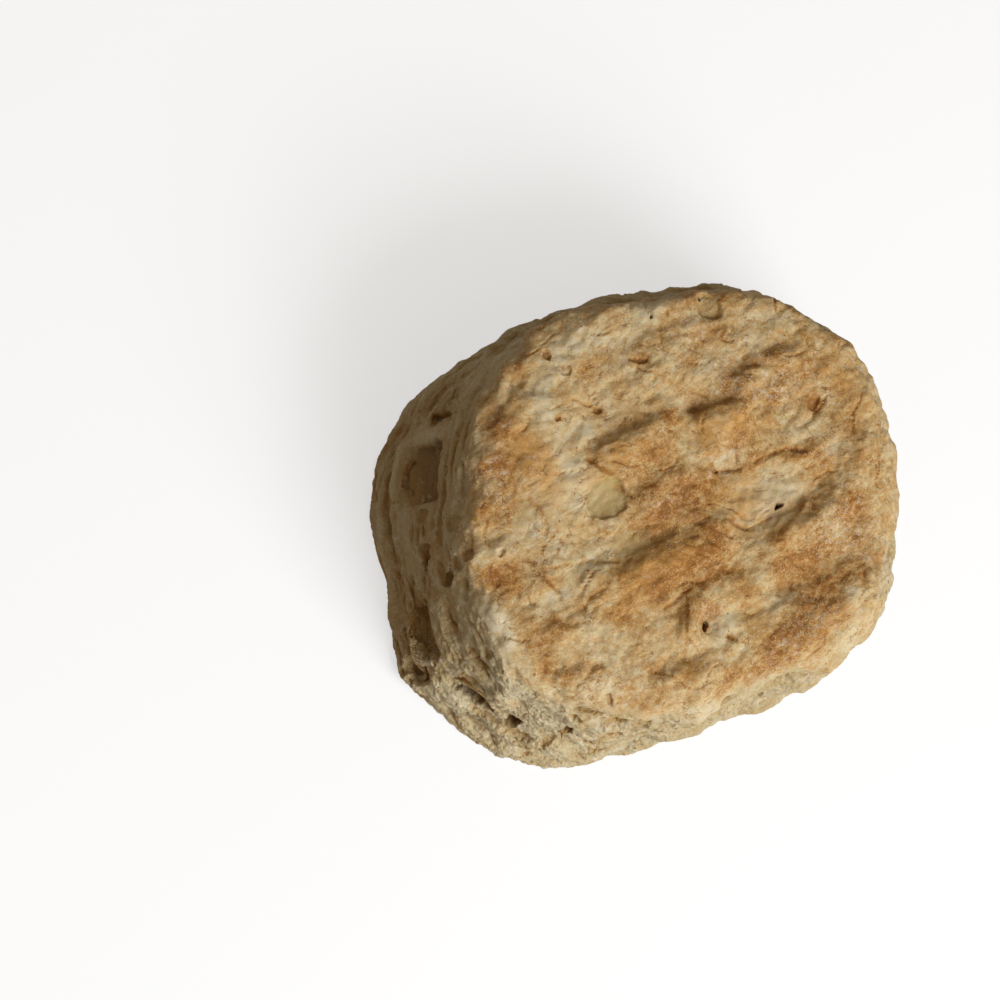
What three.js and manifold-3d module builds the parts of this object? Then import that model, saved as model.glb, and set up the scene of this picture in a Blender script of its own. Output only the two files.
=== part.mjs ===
// A whole grain tea biscuit, the tall and flaky kind that is cut from folded dough and baked
// on a flat sheet. It is one solid: a browned crown with finger-pressed folds, a torn side that
// shows the leaves of dough, pockets where the leaves pulled apart, and a flat underside.
//
// Millimetres, +Z up. The origin is at the middle of the underside. +Y runs along the longer way
// across, and the most torn stretch of the side faces -Y. Angles are in degrees from +X.

import * as THREE from "three";
import { mergeVertices } from "three/addons/utils/BufferGeometryUtils.js";
import { ImprovedNoise } from "three/addons/math/ImprovedNoise.js";
import Module from "manifold-3d";

const wasm = await Module();
wasm.setup();

// Driving dimensions
const HEIGHT = 31.5;
const CROWN = { halfWidth: 32.0, halfLength: 37.3, rim: 5.0, dome: 0.3 };
const BASE = { halfWidth: 35.4, halfLength: 42.3, foot: 1.8 };
const BELLY = 0.9; // how far the side swells past a straight line from base to crown

// The cutter's oval, knocked out of true: each lump pushes the edge out, or in where out is negative.
const CROWN_LUMPS = [
  { at: 2, out: -1.0, spread: 12 },
  { at: 40, out: 1.4, spread: 12 },
  { at: 75, out: -1.6, spread: 12 },
  { at: 100, out: 1.0, spread: 9 },
  { at: 198, out: 0.6, spread: 15 },
  { at: 241, out: -2.6, spread: 9 },
  { at: 262, out: -1.0, spread: 10 },
  { at: 292, out: 0.6, spread: 8 },
  { at: 315, out: -0.9, spread: 10 },
  { at: 345, out: -1.2, spread: 14 },
];
const BASE_LUMPS = [
  { at: 30, out: -0.6, spread: 18 },
  { at: 158, out: -1.7, spread: 24 },
  { at: 209, out: 1.2, spread: 8 },
  { at: 228, out: 1.7, spread: 12 },
  { at: 255, out: -3.2, spread: 9 },
  { at: 277, out: 0.9, spread: 7 },
  { at: 306, out: 1.0, spread: 9 },
  { at: 337, out: -1.5, spread: 13 },
];

// The crown's edge is rounded less on its -X side.
const RIM_LUMPS = [
  { at: 90, out: -1.2, spread: 30 },
  { at: 158, out: -2.6, spread: 36 },
];

// Folds pressed into the crown. Each is a low ridge, turned from the +Y line, whose flank towards
// -X is the steep one. Places are seen from above, from the finished biscuit's middle.
const STEEPNESS = 0.4;
const MIDDLE = { x: 0, y: 0 };
const FOLDS = [
  { x: -10.6, y: -3.4, turn: 1, long: 8.0, wide: 5.5, high: 1.5 },
  { x: -8.2, y: 11.8, turn: -6, long: 4.8, wide: 5.0, high: 1.6 },
  { x: -10.8, y: 18.6, turn: 0, long: 3.2, wide: 4.4, high: 1.2 },
  { x: -11.2, y: 25.0, turn: -6, long: 3.2, wide: 4.0, high: 0.9 },
  { x: -3.2, y: -2.0, turn: 6, long: 6.5, wide: 3.8, high: 1.0 },
  { x: 6.4, y: -7.0, turn: -2, long: 7.5, wide: 4.6, high: 1.7 },
  { x: 5.0, y: -16.5, turn: -24, long: 4.0, wide: 3.5, high: 1.0 },
  { x: 7.8, y: -17.8, turn: 40, long: 2.4, wide: 2.2, high: 0.6 },
  { x: 5.4, y: 2.6, turn: -10, long: 3.4, wide: 3.6, high: 0.9 },
  { x: 12.2, y: 13.0, turn: 0, long: 6.0, wide: 4.6, high: 1.5 },
  { x: 10.6, y: 22.0, turn: 18, long: 4.6, wide: 4.0, high: 1.3 },
  { x: 6.6, y: 28.4, turn: 32, long: 3.6, wide: 3.2, high: 0.9 },
  { x: 2.6, y: 21.6, turn: 10, long: 4.4, wide: 3.2, high: 0.6 },
  { x: 15.8, y: -8.2, turn: 50, long: 4.2, wide: 3.0, high: 1.0 },
  { x: 14.8, y: 1.6, turn: -6, long: 4.6, wide: 3.2, high: 0.8 },
  { x: 24.2, y: 11.0, turn: 1, long: 11.5, wide: 5.5, high: 1.6 },
  { x: 23.4, y: -13.0, turn: -8, long: 6.0, wide: 4.2, high: 0.9 },
  { x: -16.0, y: -18.6, turn: 84, long: 8.0, wide: 5.5, high: 1.0 },
  { x: -20.4, y: 7.6, turn: 12, long: 9.0, wide: 4.6, high: 0.6 },
  { x: -6.2, y: -30.0, turn: 0, long: 3.2, wide: 3.0, high: 0.9 },
  { x: -0.6, y: -25.6, turn: 12, long: 4.0, wide: 3.0, high: 0.7 },
  { x: 8.8, y: -26.4, turn: -10, long: 3.8, wide: 3.2, high: 0.8 },
  { x: 16.8, y: -27.6, turn: 16, long: 3.4, wide: 2.8, high: 0.7 },
];

// Dents and blisters of the crown, flat in the bottom.
const DENTS = [
  { x: -5.5, y: -11.1, turn: 0, long: 3.3, wide: 2.6, deep: 0.8 },
  { x: -1.6, y: 8.0, turn: -20, long: 2.0, wide: 1.7, deep: 0.5 },
  { x: 4.4, y: 14.4, turn: -12, long: 3.8, wide: 2.8, deep: 0.4 },
  { x: 18.1, y: -6.2, turn: 24, long: 2.4, wide: 1.8, deep: 0.8 },
  { x: -24.0, y: 19.0, turn: 0, long: 2.2, wide: 2.6, deep: 1.0 },
  { x: -11.2, y: 8.6, turn: -10, long: 1.6, wide: 1.2, deep: 0.9 },
  { x: 1.2, y: -11.2, turn: 0, long: 4.6, wide: 1.9, deep: 0.7 },
  { x: 18.4, y: 10.5, turn: 0, long: 7.0, wide: 1.8, deep: 0.5 },
  { x: -3.4, y: 26.6, turn: 60, long: 1.8, wide: 1.4, deep: 0.7 },
  { x: -3.2, y: -33.6, turn: 0, long: 2.4, wide: 2.4, deep: 0.8 },
];

// Leaves of the folded dough. Each sticks out its own way, and the seams between them wander up
// and down and open only here and there.
const LEAVES = { count: 6, jut: 1.0, wander: 2.4, waver: 0.7 };
const SEAM = { deep: 2.3, half: 0.75, opens: 0.02, fully: 0.3 };

// Torn crumb: rounded lumps, wider than tall, with creases between them.
const LUMPS = [
  { wide: 11, tall: 6, out: 2.4 },
  { wide: 5, tall: 2.9, out: 1.3 },
  { wide: 2.6, tall: 1.7, out: 0.6 },
];
const SWELLS = [
  { size: 9.0, out: 0.45 },
  { size: 4.2, out: 0.3 },
  { size: 2.2, out: 0.14 },
];

// Shelves, where one leaf overhangs the next for a stretch of the side.
const SHELVES = [
  { from: 196, to: 262, fromHeight: 23, toHeight: 19, out: 1.2 },
  { from: 258, to: 318, fromHeight: 16.5, toHeight: 15.5, out: 1.5 },
  { from: 268, to: 316, fromHeight: 27.0, toHeight: 21.5, out: 0.8 },
  { from: 20, to: 84, fromHeight: 17, toHeight: 21, out: 1.2 },
  { from: 98, to: 176, fromHeight: 14, toHeight: 19, out: 1.4 },
];
const SHELF = { lip: 1.6, lipHalf: 1.9, hollow: -3.2, hollowHalf: 2.6 };

// Pockets between the leaves. Each mouth is across by tall, and its inside runs deep and up.
const POCKET_TIP = 24;
const POCKETS = [
  { at: 204, height: 17.5, across: 5.0, tall: 7.5, deep: 2.4 },
  { at: 211, height: 10.0, across: 6.0, tall: 1.8, deep: 2.6 },
  { at: 218.5, height: 16.5, across: 2.6, tall: 7.0, deep: 2.4 },
  { at: 233, height: 15.4, across: 8.0, tall: 11.6, deep: 5.2 },
  { at: 243, height: 5.6, across: 7.0, tall: 2.0, deep: 3.0 },
  { at: 254, height: 17.4, across: 3.0, tall: 3.4, deep: 3.0 },
  { at: 260.5, height: 24.0, across: 2.4, tall: 4.4, deep: 2.8 },
  { at: 267.5, height: 11.0, across: 7.4, tall: 6.6, deep: 3.4 },
  { at: 274.5, height: 4.9, across: 3.4, tall: 4.6, deep: 3.6 },
  { at: 278.5, height: 22.6, across: 4.2, tall: 1.6, deep: 2.6 },
  { at: 286, height: 12.8, across: 7.0, tall: 3.4, deep: 4.8 },
  { at: 289.5, height: 5.8, across: 6.0, tall: 1.6, deep: 2.4 },
  { at: 297, height: 13.4, across: 3.0, tall: 4.8, deep: 4.8 },
  { at: 303, height: 7.4, across: 3.2, tall: 2.0, deep: 2.8 },
  { at: 308.5, height: 14.4, across: 4.0, tall: 4.4, deep: 4.4 },
  { at: 309, height: 20.8, across: 3.4, tall: 1.4, deep: 2.2 },
  { at: 318, height: 10.5, across: 5.6, tall: 2.0, deep: 3.2 },
];
const FAR_POCKETS = { count: 18, from: 328, to: 556, low: 6, high: 24 };

// The shell is a geodesic sphere, spread by these shares over the three faces. Its triangles are
// thinned last, where that moves the surface by less than THINNING.
const SHELL_DETAIL = 23;
const POCKET_DETAIL = 1;
const SHARE = { underside: 0.11, side: 0.57 };
const THINNING = 0.15;

const radians = THREE.MathUtils.degToRad;
const { lerp, smoothstep, clamp } = THREE.MathUtils;
const perlin = new ImprovedNoise();

// Smooth noise between about -1 and 1, with lumps of the given width and height. layer picks a
// fresh pattern.
function noise(point, wide, layer = 0, tall = wide) {
  const shift = 17.3 * layer;
  return perlin.noise(point.x / wide + shift, point.y / wide - shift, point.z / tall + shift);
}

// The signed turn from one angle to another, in degrees, the short way round.
function turnBetween(from, to) {
  return THREE.MathUtils.euclideanModulo(to - from + 180, 360) - 180;
}

function lumpsAt(angle, lumps) {
  const bump = ({ at, out, spread }) => out * Math.exp(-((turnBetween(at, angle) / spread) ** 2));
  return lumps.map(bump).reduce((sum, out) => sum + out, 0);
}

function ovalRadius(angle, { halfWidth, halfLength }, lumps) {
  const a = radians(angle);
  return 1 / Math.hypot(Math.cos(a) / halfWidth, Math.sin(a) / halfLength) + lumpsAt(angle, lumps);
}

function rimRadius(angle) {
  return CROWN.rim + lumpsAt(angle, RIM_LUMPS);
}

// The side's straight run between the base's edge and the crown's edge, at a height.
function sideRadius(angle, height) {
  const t = clamp(height / HEIGHT, 0, 1);
  const base = ovalRadius(angle, BASE, BASE_LUMPS);
  const crown = ovalRadius(angle, CROWN, CROWN_LUMPS);
  return lerp(base, crown, t) + BELLY * Math.sin(Math.PI * t);
}

// The place a share of the way from (x, y) across a fold or a dent, in its own turned frame.
function across({ x, y, turn }, point) {
  const a = radians(turn);
  const dx = point.x - MIDDLE.x - x;
  const dy = point.y - MIDDLE.y - y;
  return { over: dx * Math.cos(a) + dy * Math.sin(a), along: dy * Math.cos(a) - dx * Math.sin(a) };
}

function foldHeight(fold, point) {
  const { over, along } = across(fold, point);
  const reach = over < 0 ? fold.wide * STEEPNESS : fold.wide;
  return fold.high * Math.exp(-((over / reach) ** 2) - (along / fold.long) ** 4);
}

function dentDepth(dent, point) {
  const { over, along } = across(dent, point);
  const away = (over / dent.wide) ** 2 + (along / dent.long) ** 2;
  return dent.deep * Math.exp(-(away ** 2));
}

function crownRelief(point) {
  const folds = FOLDS.reduce((sum, fold) => sum + foldHeight(fold, point), 0);
  const dents = DENTS.reduce((sum, dent) => sum + dentDepth(dent, point), 0);
  const swells = SWELLS.reduce((sum, { size, out }, k) => sum + out * noise(point, size, 1 + k), 0);
  return folds - dents + swells;
}

// How far a leaf of dough sticks out at this height, less any open seam beside it.
function leafRelief(point) {
  const thick = HEIGHT / LEAVES.count;
  const ring = point.clone().setZ(0);
  const wander = LEAVES.wander * noise(ring, 24, 4) + LEAVES.waver * noise(ring, 6.5, 5);
  const level = (point.z + wander) / thick;
  const jut = (leaf) => LEAVES.jut * noise(ring.setZ(31 * leaf), 14, 6);
  const leaf = Math.floor(level);
  const seam = Math.round(level);
  const opening = smoothstep(noise(ring.setZ(23 * seam), 10, 7), SEAM.opens, SEAM.fully);
  const beside = Math.exp(-((((level - seam) * thick) / SEAM.half) ** 2));
  return lerp(jut(leaf), jut(leaf + 1), smoothstep(level - leaf, 0.75, 1)) - SEAM.deep * opening * beside;
}

function shelfRelief(angle, height) {
  return SHELVES.reduce((sum, shelf) => {
    const span = shelf.to - shelf.from;
    const way = turnBetween(shelf.from + span / 2, angle) / span + 0.5;
    const here = smoothstep(way, 0, 0.14) * (1 - smoothstep(way, 0.86, 1));
    const above = height - lerp(shelf.fromHeight, shelf.toHeight, clamp(way, 0, 1));
    const lip = Math.exp(-(((above - SHELF.lip) / SHELF.lipHalf) ** 2));
    const hollow = Math.exp(-(((above - SHELF.hollow) / SHELF.hollowHalf) ** 2));
    return sum + here * shelf.out * (lip - hollow);
  }, 0);
}

// Noise turned to rounded lumps with creases between, from about -0.25 to 0.75.
function lumpRelief(point) {
  const lump = ({ wide, tall, out }, k) => out * (Math.abs(noise(point, wide, 8 + k, tall)) - 0.25);
  return LUMPS.map(lump).reduce((sum, out) => sum + out, 0);
}

function sideRelief(point, angle) {
  return leafRelief(point) + shelfRelief(angle, point.z) + lumpRelief(point);
}

// The side's profile at a share of its length from the foot to a crown's rim of the given radius:
// its height, how far it is drawn in there, and how much it faces up.
function sideProfile(share, rim) {
  const { foot } = BASE;
  const footArc = (Math.PI / 2) * foot;
  const rimArc = (Math.PI / 2) * rim;
  const straight = HEIGHT - foot - rim;
  const run = share * (footArc + straight + rimArc);
  if (run < footArc) {
    const a = run / foot;
    return { height: foot * (1 - Math.cos(a)), drawnIn: foot * (1 - Math.sin(a)), up: -Math.cos(a) };
  }
  if (run < footArc + straight) return { height: foot + run - footArc, drawnIn: 0, up: 0 };
  const a = (run - footArc - straight) / rim;
  return {
    height: HEIGHT - rim + rim * Math.sin(a),
    drawnIn: rim * (1 - Math.cos(a)),
    up: Math.sin(a),
  };
}

// A point of the smooth shell, and the way it faces, for a direction from the middle of a sphere.
// Equal areas of the sphere become equal areas of each face.
function shellPoint(direction) {
  const angle = THREE.MathUtils.radToDeg(Math.atan2(direction.y, direction.x));
  const share = (1 + direction.z) / 2;
  const crownShare = 1 - SHARE.underside - SHARE.side;
  const rim = rimRadius(angle);
  let radius, height, up;
  if (share < SHARE.underside) {
    radius = (sideRadius(angle, 0) - BASE.foot) * Math.sqrt(share / SHARE.underside);
    height = 0;
    up = -1;
  } else if (share < 1 - crownShare) {
    const at = sideProfile((share - SHARE.underside) / SHARE.side, rim);
    radius = sideRadius(angle, at.height) - at.drawnIn;
    height = at.height;
    up = at.up;
  } else {
    const inward = Math.sqrt((1 - share) / crownShare);
    radius = (sideRadius(angle, HEIGHT) - rim) * inward;
    height = HEIGHT + CROWN.dome * (1 - inward ** 2);
    up = 1;
  }
  const a = radians(angle);
  const out = new THREE.Vector3(Math.cos(a), Math.sin(a), 0);
  return { point: out.clone().multiplyScalar(radius).setZ(height), out, up, angle };
}

function reliefPoint(direction) {
  const { point, out, up, angle } = shellPoint(direction);
  const sideways = Math.sqrt(1 - up ** 2);
  const pushOut = sideways ** 2 * sideRelief(point, angle);
  const pushUp = up > 0 ? up ** 2 * crownRelief(point) : 0;
  point.addScaledVector(out, pushOut * sideways + pushUp * sideways);
  point.z += (pushOut + pushUp) * Math.max(up, 0);
  return point;
}

// A geodesic sphere of radius 1 with each of its points moved by a function.
function movedSphere(detail, move) {
  const sphere = new THREE.IcosahedronGeometry(1, detail);
  sphere.deleteAttribute("normal");
  sphere.deleteAttribute("uv");
  const geometry = mergeVertices(sphere, 1e-4);
  const { position } = geometry.attributes;
  for (let i = 0; i < position.count; i += 1) {
    const moved = move(new THREE.Vector3().fromBufferAttribute(position, i));
    position.setXYZ(i, moved.x, moved.y, moved.z);
  }
  return geometry;
}

function solidFrom(geometry) {
  return new wasm.Manifold(
    new wasm.Mesh({
      numProp: 3,
      vertProperties: new Float32Array(geometry.attributes.position.array),
      triVerts: new Uint32Array(geometry.index.array),
    }),
  );
}

function geometryFrom(solid) {
  const { vertProperties, triVerts } = solid.getMesh();
  const geometry = new THREE.BufferGeometry();
  geometry.setAttribute("position", new THREE.BufferAttribute(new Float32Array(vertProperties), 3));
  geometry.setIndex(new THREE.BufferAttribute(new Uint32Array(triVerts), 1));
  geometry.computeVertexNormals();
  return geometry;
}

// The torn hollow of one pocket: a rough lens, centred on the side and tipped so it runs inward
// and up under its own roof.
function pocketSolid({ at, height, across: width, tall, deep }, index) {
  const a = radians(at);
  const radius = sideRadius(at, height);
  const onSide = new THREE.Vector3(radius * Math.cos(a), radius * Math.sin(a), height);
  const mouth = radius + shelfRelief(at, height);
  const place = new THREE.Matrix4()
    .makeTranslation(mouth * Math.cos(a), mouth * Math.sin(a), onSide.z)
    .multiply(new THREE.Matrix4().makeRotationZ(a))
    .multiply(new THREE.Matrix4().makeRotationY(radians(POCKET_TIP)));
  const reach = new THREE.Vector3(deep, width / 2, tall / 2);
  const geometry = movedSphere(POCKET_DETAIL, (direction) => {
    const rough = 1 + 0.4 * noise(direction, 0.7, 11 + index) + 0.25 * noise(direction, 0.32, 60 + index);
    return direction.multiply(reach).multiplyScalar(rough).applyMatrix4(place);
  });
  return solidFrom(geometry);
}

// Pockets for the stretch of the side that the listed ones leave out, evenly uneven.
function farPockets() {
  const random = (i, k) => THREE.MathUtils.euclideanModulo(Math.sin(12.9 * i + 78.2 * k) * 437.5, 1);
  const { count, from, to, low, high } = FAR_POCKETS;
  return Array.from({ length: count }, (_, i) => ({
    at: lerp(from, to, (i + 0.25 + 0.5 * random(i, 1)) / count) % 360,
    height: lerp(low, high, random(i, 2)),
    across: lerp(3.0, 7.6, random(i, 3)),
    tall: lerp(1.6, 4.4, random(i, 4) ** 2),
    deep: lerp(2.4, 4.8, random(i, 5)),
  }));
}

function largest(solid) {
  return solid.decompose().sort((a, b) => b.volume() - a.volume())[0];
}

function biscuitGeometry() {
  const shell = solidFrom(movedSphere(SHELL_DETAIL, reliefPoint));
  const torn = [...POCKETS, ...farPockets()].reduce(
    (solid, pocket, index) => solid.subtract(pocketSolid(pocket, index)),
    shell,
  );
  const geometry = geometryFrom(largest(torn).simplify(THINNING));
  geometry.computeBoundingBox();
  const middle = geometry.boundingBox.getCenter(new THREE.Vector3());
  return geometry.translate(-middle.x, -middle.y, -geometry.boundingBox.min.z);
}

const crust = new THREE.MeshStandardMaterial({ color: 0xc9a06a, roughness: 0.85, metalness: 0 });

const biscuit = new THREE.Mesh(biscuitGeometry(), crust);
biscuit.name = "biscuit";

const part = new THREE.Group();
part.add(biscuit);

export default part;
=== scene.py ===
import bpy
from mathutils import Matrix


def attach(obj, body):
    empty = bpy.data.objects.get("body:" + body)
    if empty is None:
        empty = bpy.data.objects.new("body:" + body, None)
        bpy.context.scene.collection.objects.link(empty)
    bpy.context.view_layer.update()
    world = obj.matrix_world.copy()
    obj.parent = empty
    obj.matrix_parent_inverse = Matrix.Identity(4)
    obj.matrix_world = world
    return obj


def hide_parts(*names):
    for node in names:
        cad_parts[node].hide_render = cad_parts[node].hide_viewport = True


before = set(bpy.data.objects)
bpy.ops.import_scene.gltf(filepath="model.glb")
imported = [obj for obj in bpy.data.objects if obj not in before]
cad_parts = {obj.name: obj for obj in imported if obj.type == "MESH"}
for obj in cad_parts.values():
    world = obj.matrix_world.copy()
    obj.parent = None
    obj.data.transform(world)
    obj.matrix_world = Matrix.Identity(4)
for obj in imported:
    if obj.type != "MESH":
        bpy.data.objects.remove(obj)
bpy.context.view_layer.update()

import math

import bpy
import numpy as np
from mathutils import Matrix, Vector, noise
from mathutils.bvhtree import BVHTree
from mathutils.kdtree import KDTree

# Camera, floor and light. The biscuit lies flat and the camera looks down on it, 20 degrees off
# the vertical and rolled, so that the longer way across runs up to the right of the picture. The
# main light comes low from the bottom of the picture and rakes across the crown's folds.

MM = 0.001
LENS = 120
TILT = 20  # degrees that the camera leans from the vertical
ROLL = 62  # degrees that it is turned about its line of sight
CAMERA_PLACE = (-12.8, -192.8, 490.7)  # mm
LIT_HEIGHT = 15  # mm above the floor, where the lamps look


def aimed(back, roll, place):
    """The matrix of a camera at a place that looks along -back, turned by roll about it."""
    level = Vector((0, 0, 1)).cross(back).normalized()
    over = back.cross(level)
    right = level * math.cos(roll) + over * math.sin(roll)
    up = over * math.cos(roll) - level * math.sin(roll)
    return Matrix.Translation(place) @ Matrix((right, up, back)).transposed().to_4x4()


def add_camera():
    camera = bpy.data.objects.new("camera", bpy.data.cameras.new("camera"))
    camera.data.lens = LENS
    camera.data.sensor_width = 36
    camera.data.clip_start = 0.01
    camera.data.clip_end = 10
    tilt = math.radians(TILT)
    back = Vector((0, -math.sin(tilt), math.cos(tilt)))
    camera.matrix_world = aimed(back, math.radians(ROLL), Vector(CAMERA_PLACE) * MM)
    bpy.context.scene.collection.objects.link(camera)
    bpy.context.scene.camera = camera


def add_light(name, azimuth, elevation, away, size, watts, colour):
    """A square lamp that looks at the biscuit, away and size in metres. azimuth is in degrees from
    +X, towards +Y."""
    lamp = bpy.data.lights.new(name, "AREA")
    lamp.energy = watts
    lamp.size = size
    lamp.color = colour
    light = bpy.data.objects.new(name, lamp)
    turn = math.radians(azimuth)
    rise = math.radians(elevation)
    back = Vector((math.cos(turn) * math.cos(rise), math.sin(turn) * math.cos(rise), math.sin(rise)))
    light.matrix_world = aimed(back, 0, back * away + Vector((0, 0, LIT_HEIGHT)) * MM)
    bpy.context.scene.collection.objects.link(light)


def add_world(colour, strength):
    world = bpy.data.worlds.new("studio")
    world.use_nodes = True
    background = world.node_tree.nodes["Background"]
    background.inputs["Color"].default_value = (*colour, 1)
    background.inputs["Strength"].default_value = strength
    bpy.context.scene.world = world


def add_floor():
    mesh = bpy.data.meshes.new("floor")
    corners = [(-2, -2, 0), (2, -2, 0), (2, 2, 0), (-2, 2, 0)]
    mesh.from_pydata(corners, [], [(0, 1, 2, 3)])
    floor = bpy.data.objects.new("floor", mesh)
    material = bpy.data.materials.new("floor")
    material.use_nodes = True
    shader = material.node_tree.nodes["Principled BSDF"]
    shader.inputs["Base Color"].default_value = (0.35, 0.36, 0.37, 1)
    shader.inputs["Emission Color"].default_value = (1, 1, 1, 1)
    shader.inputs["Emission Strength"].default_value = 0.63
    shader.inputs["Roughness"].default_value = 0.8
    shader.inputs["Specular IOR Level"].default_value = 0.1
    mesh.materials.append(material)
    floor.visible_diffuse = False
    bpy.context.scene.collection.objects.link(floor)


add_camera()
add_light("main", 5, 40, 0.8, 0.45, 6.6, (1, 1, 1))
add_light("over", 0, 62, 0.9, 0.7, 1.7, (1, 1, 1))
add_world((1, 0.8, 0.54), 0.23)
add_floor()
bpy.context.scene.view_settings.view_transform = "Standard"


# The biscuit is one baked piece of folded whole grain dough. Its crown is a thin browned crust,
# wrinkled and pitted, and its side is pale torn crumb in leaves about 2 mm thick. The shape is
# the solid's, made even at about 0.35 mm, and roughened by noise and by the places listed here.

GRID = 0.36 * MM
TRIANGLES = 190000
CROWN_EDGE = 27.8  # the height where the crust gives way to torn crumb, in mm
ACROSS = 0.65  # mm of the side's girth for a degree
FURTHEST_IN = 3.0  # mm that the fine shapes may sink into the solid
FURTHEST_OUT = 1.1  # mm that they may stand out of it
THROUGH = 1.7  # mm, how deep a hollow of the side is before it counts as a dark hole

# The side's own slope, bulges apart: degrees round, how far out its foot is, and its top, in mm.
SLOPE = [
    (185, 35.8, 33.1),
    (195, 36.3, 33.4),
    (208, 38.0, 33.9),
    (220, 39.5, 33.7),
    (240, 40.3, 33.0),
    (255, 38.7, 35.0),
    (265, 40.0, 35.8),
    (275, 42.4, 36.4),
    (290, 42.1, 37.2),
    (303, 40.7, 35.4),
    (320, 38.0, 33.5),
    (340, 35.0, 32.0),
]
SLOPE_TOP = 29.5

# Where the outline stands out from a plain oval or falls short of it: degrees round, and mm out.
OUTLINE = [
    (0, -1.0),
    (5, -0.6),
    (10, 0.8),
    (16, 2.0),
    (32, 1.8),
    (40, 0.8),
    (48, -0.6),
    (62, -0.7),
    (72, 0.2),
    (80, 0.8),
    (96, 0.6),
    (104, -0.2),
    (112, 0.6),
    (128, 0.7),
    (136, -0.2),
    (144, -0.8),
    (152, -1.3),
    (160, -1.4),
    (170, -0.2),
    (280, 0.0),
    (288, -0.9),
    (296, -0.7),
    (312, 0.0),
    (320, 0.0),
    (328, -0.8),
    (335, 0.1),
    (344, -0.4),
    (352, -0.4),
    (360, -1.0),
]

# Pits and pinholes of the crown: middle x and y, half sizes along x and y, turn in degrees, and
# depth, in mm.
PITS = [
    (-5.4, -11.1, 2.7, 3.4, 0, 0.45),
    (18.1, -6.2, 1.4, 2.2, -30, 0.15),
    (-24.0, 18.9, 2.2, 1.7, 0, 0.5),
    (-21.6, 4.2, 0.35, 1.4, -32, 0.5),
    (-17.7, -5.3, 0.5, 0.6, 0, 0.5),
    (-28.5, -8.4, 0.9, 0.5, 0, 0.6),
    (-19.5, -11.8, 0.4, 0.4, 0, 0.4),
    (-11.1, 8.4, 0.5, 0.9, -25, 0.4),
    (-3.6, 26.6, 0.9, 1.3, 30, 0.45),
    (-8.0, -33.8, 0.8, 0.9, 0, 0.6),
    (-6.0, -29.6, 0.5, 0.9, 20, 0.4),
    (20.5, -24.8, 0.9, 0.35, 0, 0.5),
    (-25.3, -6.8, 0.7, 0.8, 0, 0.35),
]
PINHOLES = [
    (-1.4, 6.9, 0.22, 0.25, 0, 0.9),
    (7.7, 13.3, 0.4, 0.7, 0, 1.6),
    (18.1, -6.3, 0.42, 1.0, 34, 1.8),
    (-25.6, 18.5, 0.25, 0.25, 0, 0.9),
    (-26.5, 9.5, 0.22, 0.22, 0, 0.9),
]

# Lips of the crown's folds, where the crust stands up in a small step that faces -X: middle x
# and y, turn in degrees, half length and rise, in mm.
LIPS = [
    (-13.0, -3.2, 0, 7.0, 0.5),
    (-10.4, 11.6, -6, 4.0, 0.6),
    (-12.9, 18.6, 0, 2.8, 0.5),
    (-13.1, 25.0, -4, 2.8, 0.5),
    (-5.2, -2.0, 6, 5.0, 0.25),
    (4.2, -8.0, 0, 6.0, 0.4),
    (2.4, -17.0, -24, 3.6, 0.3),
    (6.0, -19.6, 30, 1.6, 0.3),
    (9.6, 13.5, 0, 5.0, 0.5),
    (9.0, 19.5, 8, 4.0, 0.35),
    (5.8, 27.0, 38, 3.2, 0.35),
    (2.2, 20.0, 4, 3.0, 0.25),
    (15.2, -9.0, 52, 3.4, 0.5),
    (12.6, -3.0, -8, 3.0, 0.3),
    (20.0, 4.0, 0, 8.0, 0.3),
    (20.2, 15.0, 2, 6.0, 0.3),
    (21.4, -13.0, -6, 4.0, 0.25),
    (-23.0, -20.0, -10, 3.0, 0.2),
    (7.0, -27.4, 12, 3.0, 0.3),
    (14.4, -28.4, 4, 2.6, 0.3),
    (-7.8, -32.0, -14, 3.0, 0.3),
]

# Cracks of the skin: from x and y, to x and y, and depth, in mm.
CRACKS = [
    (-2.4, 6.8, -1.2, 7.0, 0.3),
    (-1.2, 7.0, -0.4, 10.4, 0.25),
    (5.8, 5.0, 8.6, 7.1, 0.35),
    (8.6, 7.1, 8.4, 9.1, 0.3),
    (8.4, 9.1, 8.7, 11.4, 0.3),
    (-0.8, -26.0, 1.6, -17.6, 0.2),
    (1.6, -17.6, 4.1, -11.8, 0.25),
    (7.2, -22.1, 6.0, -20.2, 0.25),
    (6.0, -20.2, 5.7, -17.6, 0.2),
    (12.9, -10.9, 12.1, -6.0, 0.3),
    (12.7, -7.1, 20.9, -11.9, 0.15),
    (21.1, -3.9, 21.9, -3.3, 0.4),
    (4.8, 0.6, 8.1, 3.7, 0.25),
    (6.3, -0.8, 9.2, 1.7, 0.25),
    (7.5, -2.8, 10.8, -0.2, 0.25),
    (9.8, -2.3, 12.9, 0.5, 0.25),
    (-0.2, 13.4, 0.4, 18.1, 0.25),
    (0.4, 18.1, 2.1, 20.9, 0.25),
    (-12.0, -10.4, -10.3, -10.3, 0.35),
    (-10.3, -10.3, -8.4, -8.9, 0.35),
    (-6.0, -8.4, -4.1, -7.5, 0.3),
    (-11.0, -21.6, -8.0, -20.6, 0.2),
    (-8.0, -20.6, -5.6, -21.6, 0.2),
    (-3.0, -26.4, 3.6, -24.4, 0.25),
    (3.6, -24.4, 6.0, -24.8, 0.2),
    (-24.6, 9.8, -21.0, 8.6, 0.15),
    (-30.0, 10.2, -26.8, 9.6, 0.2),
]

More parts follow.
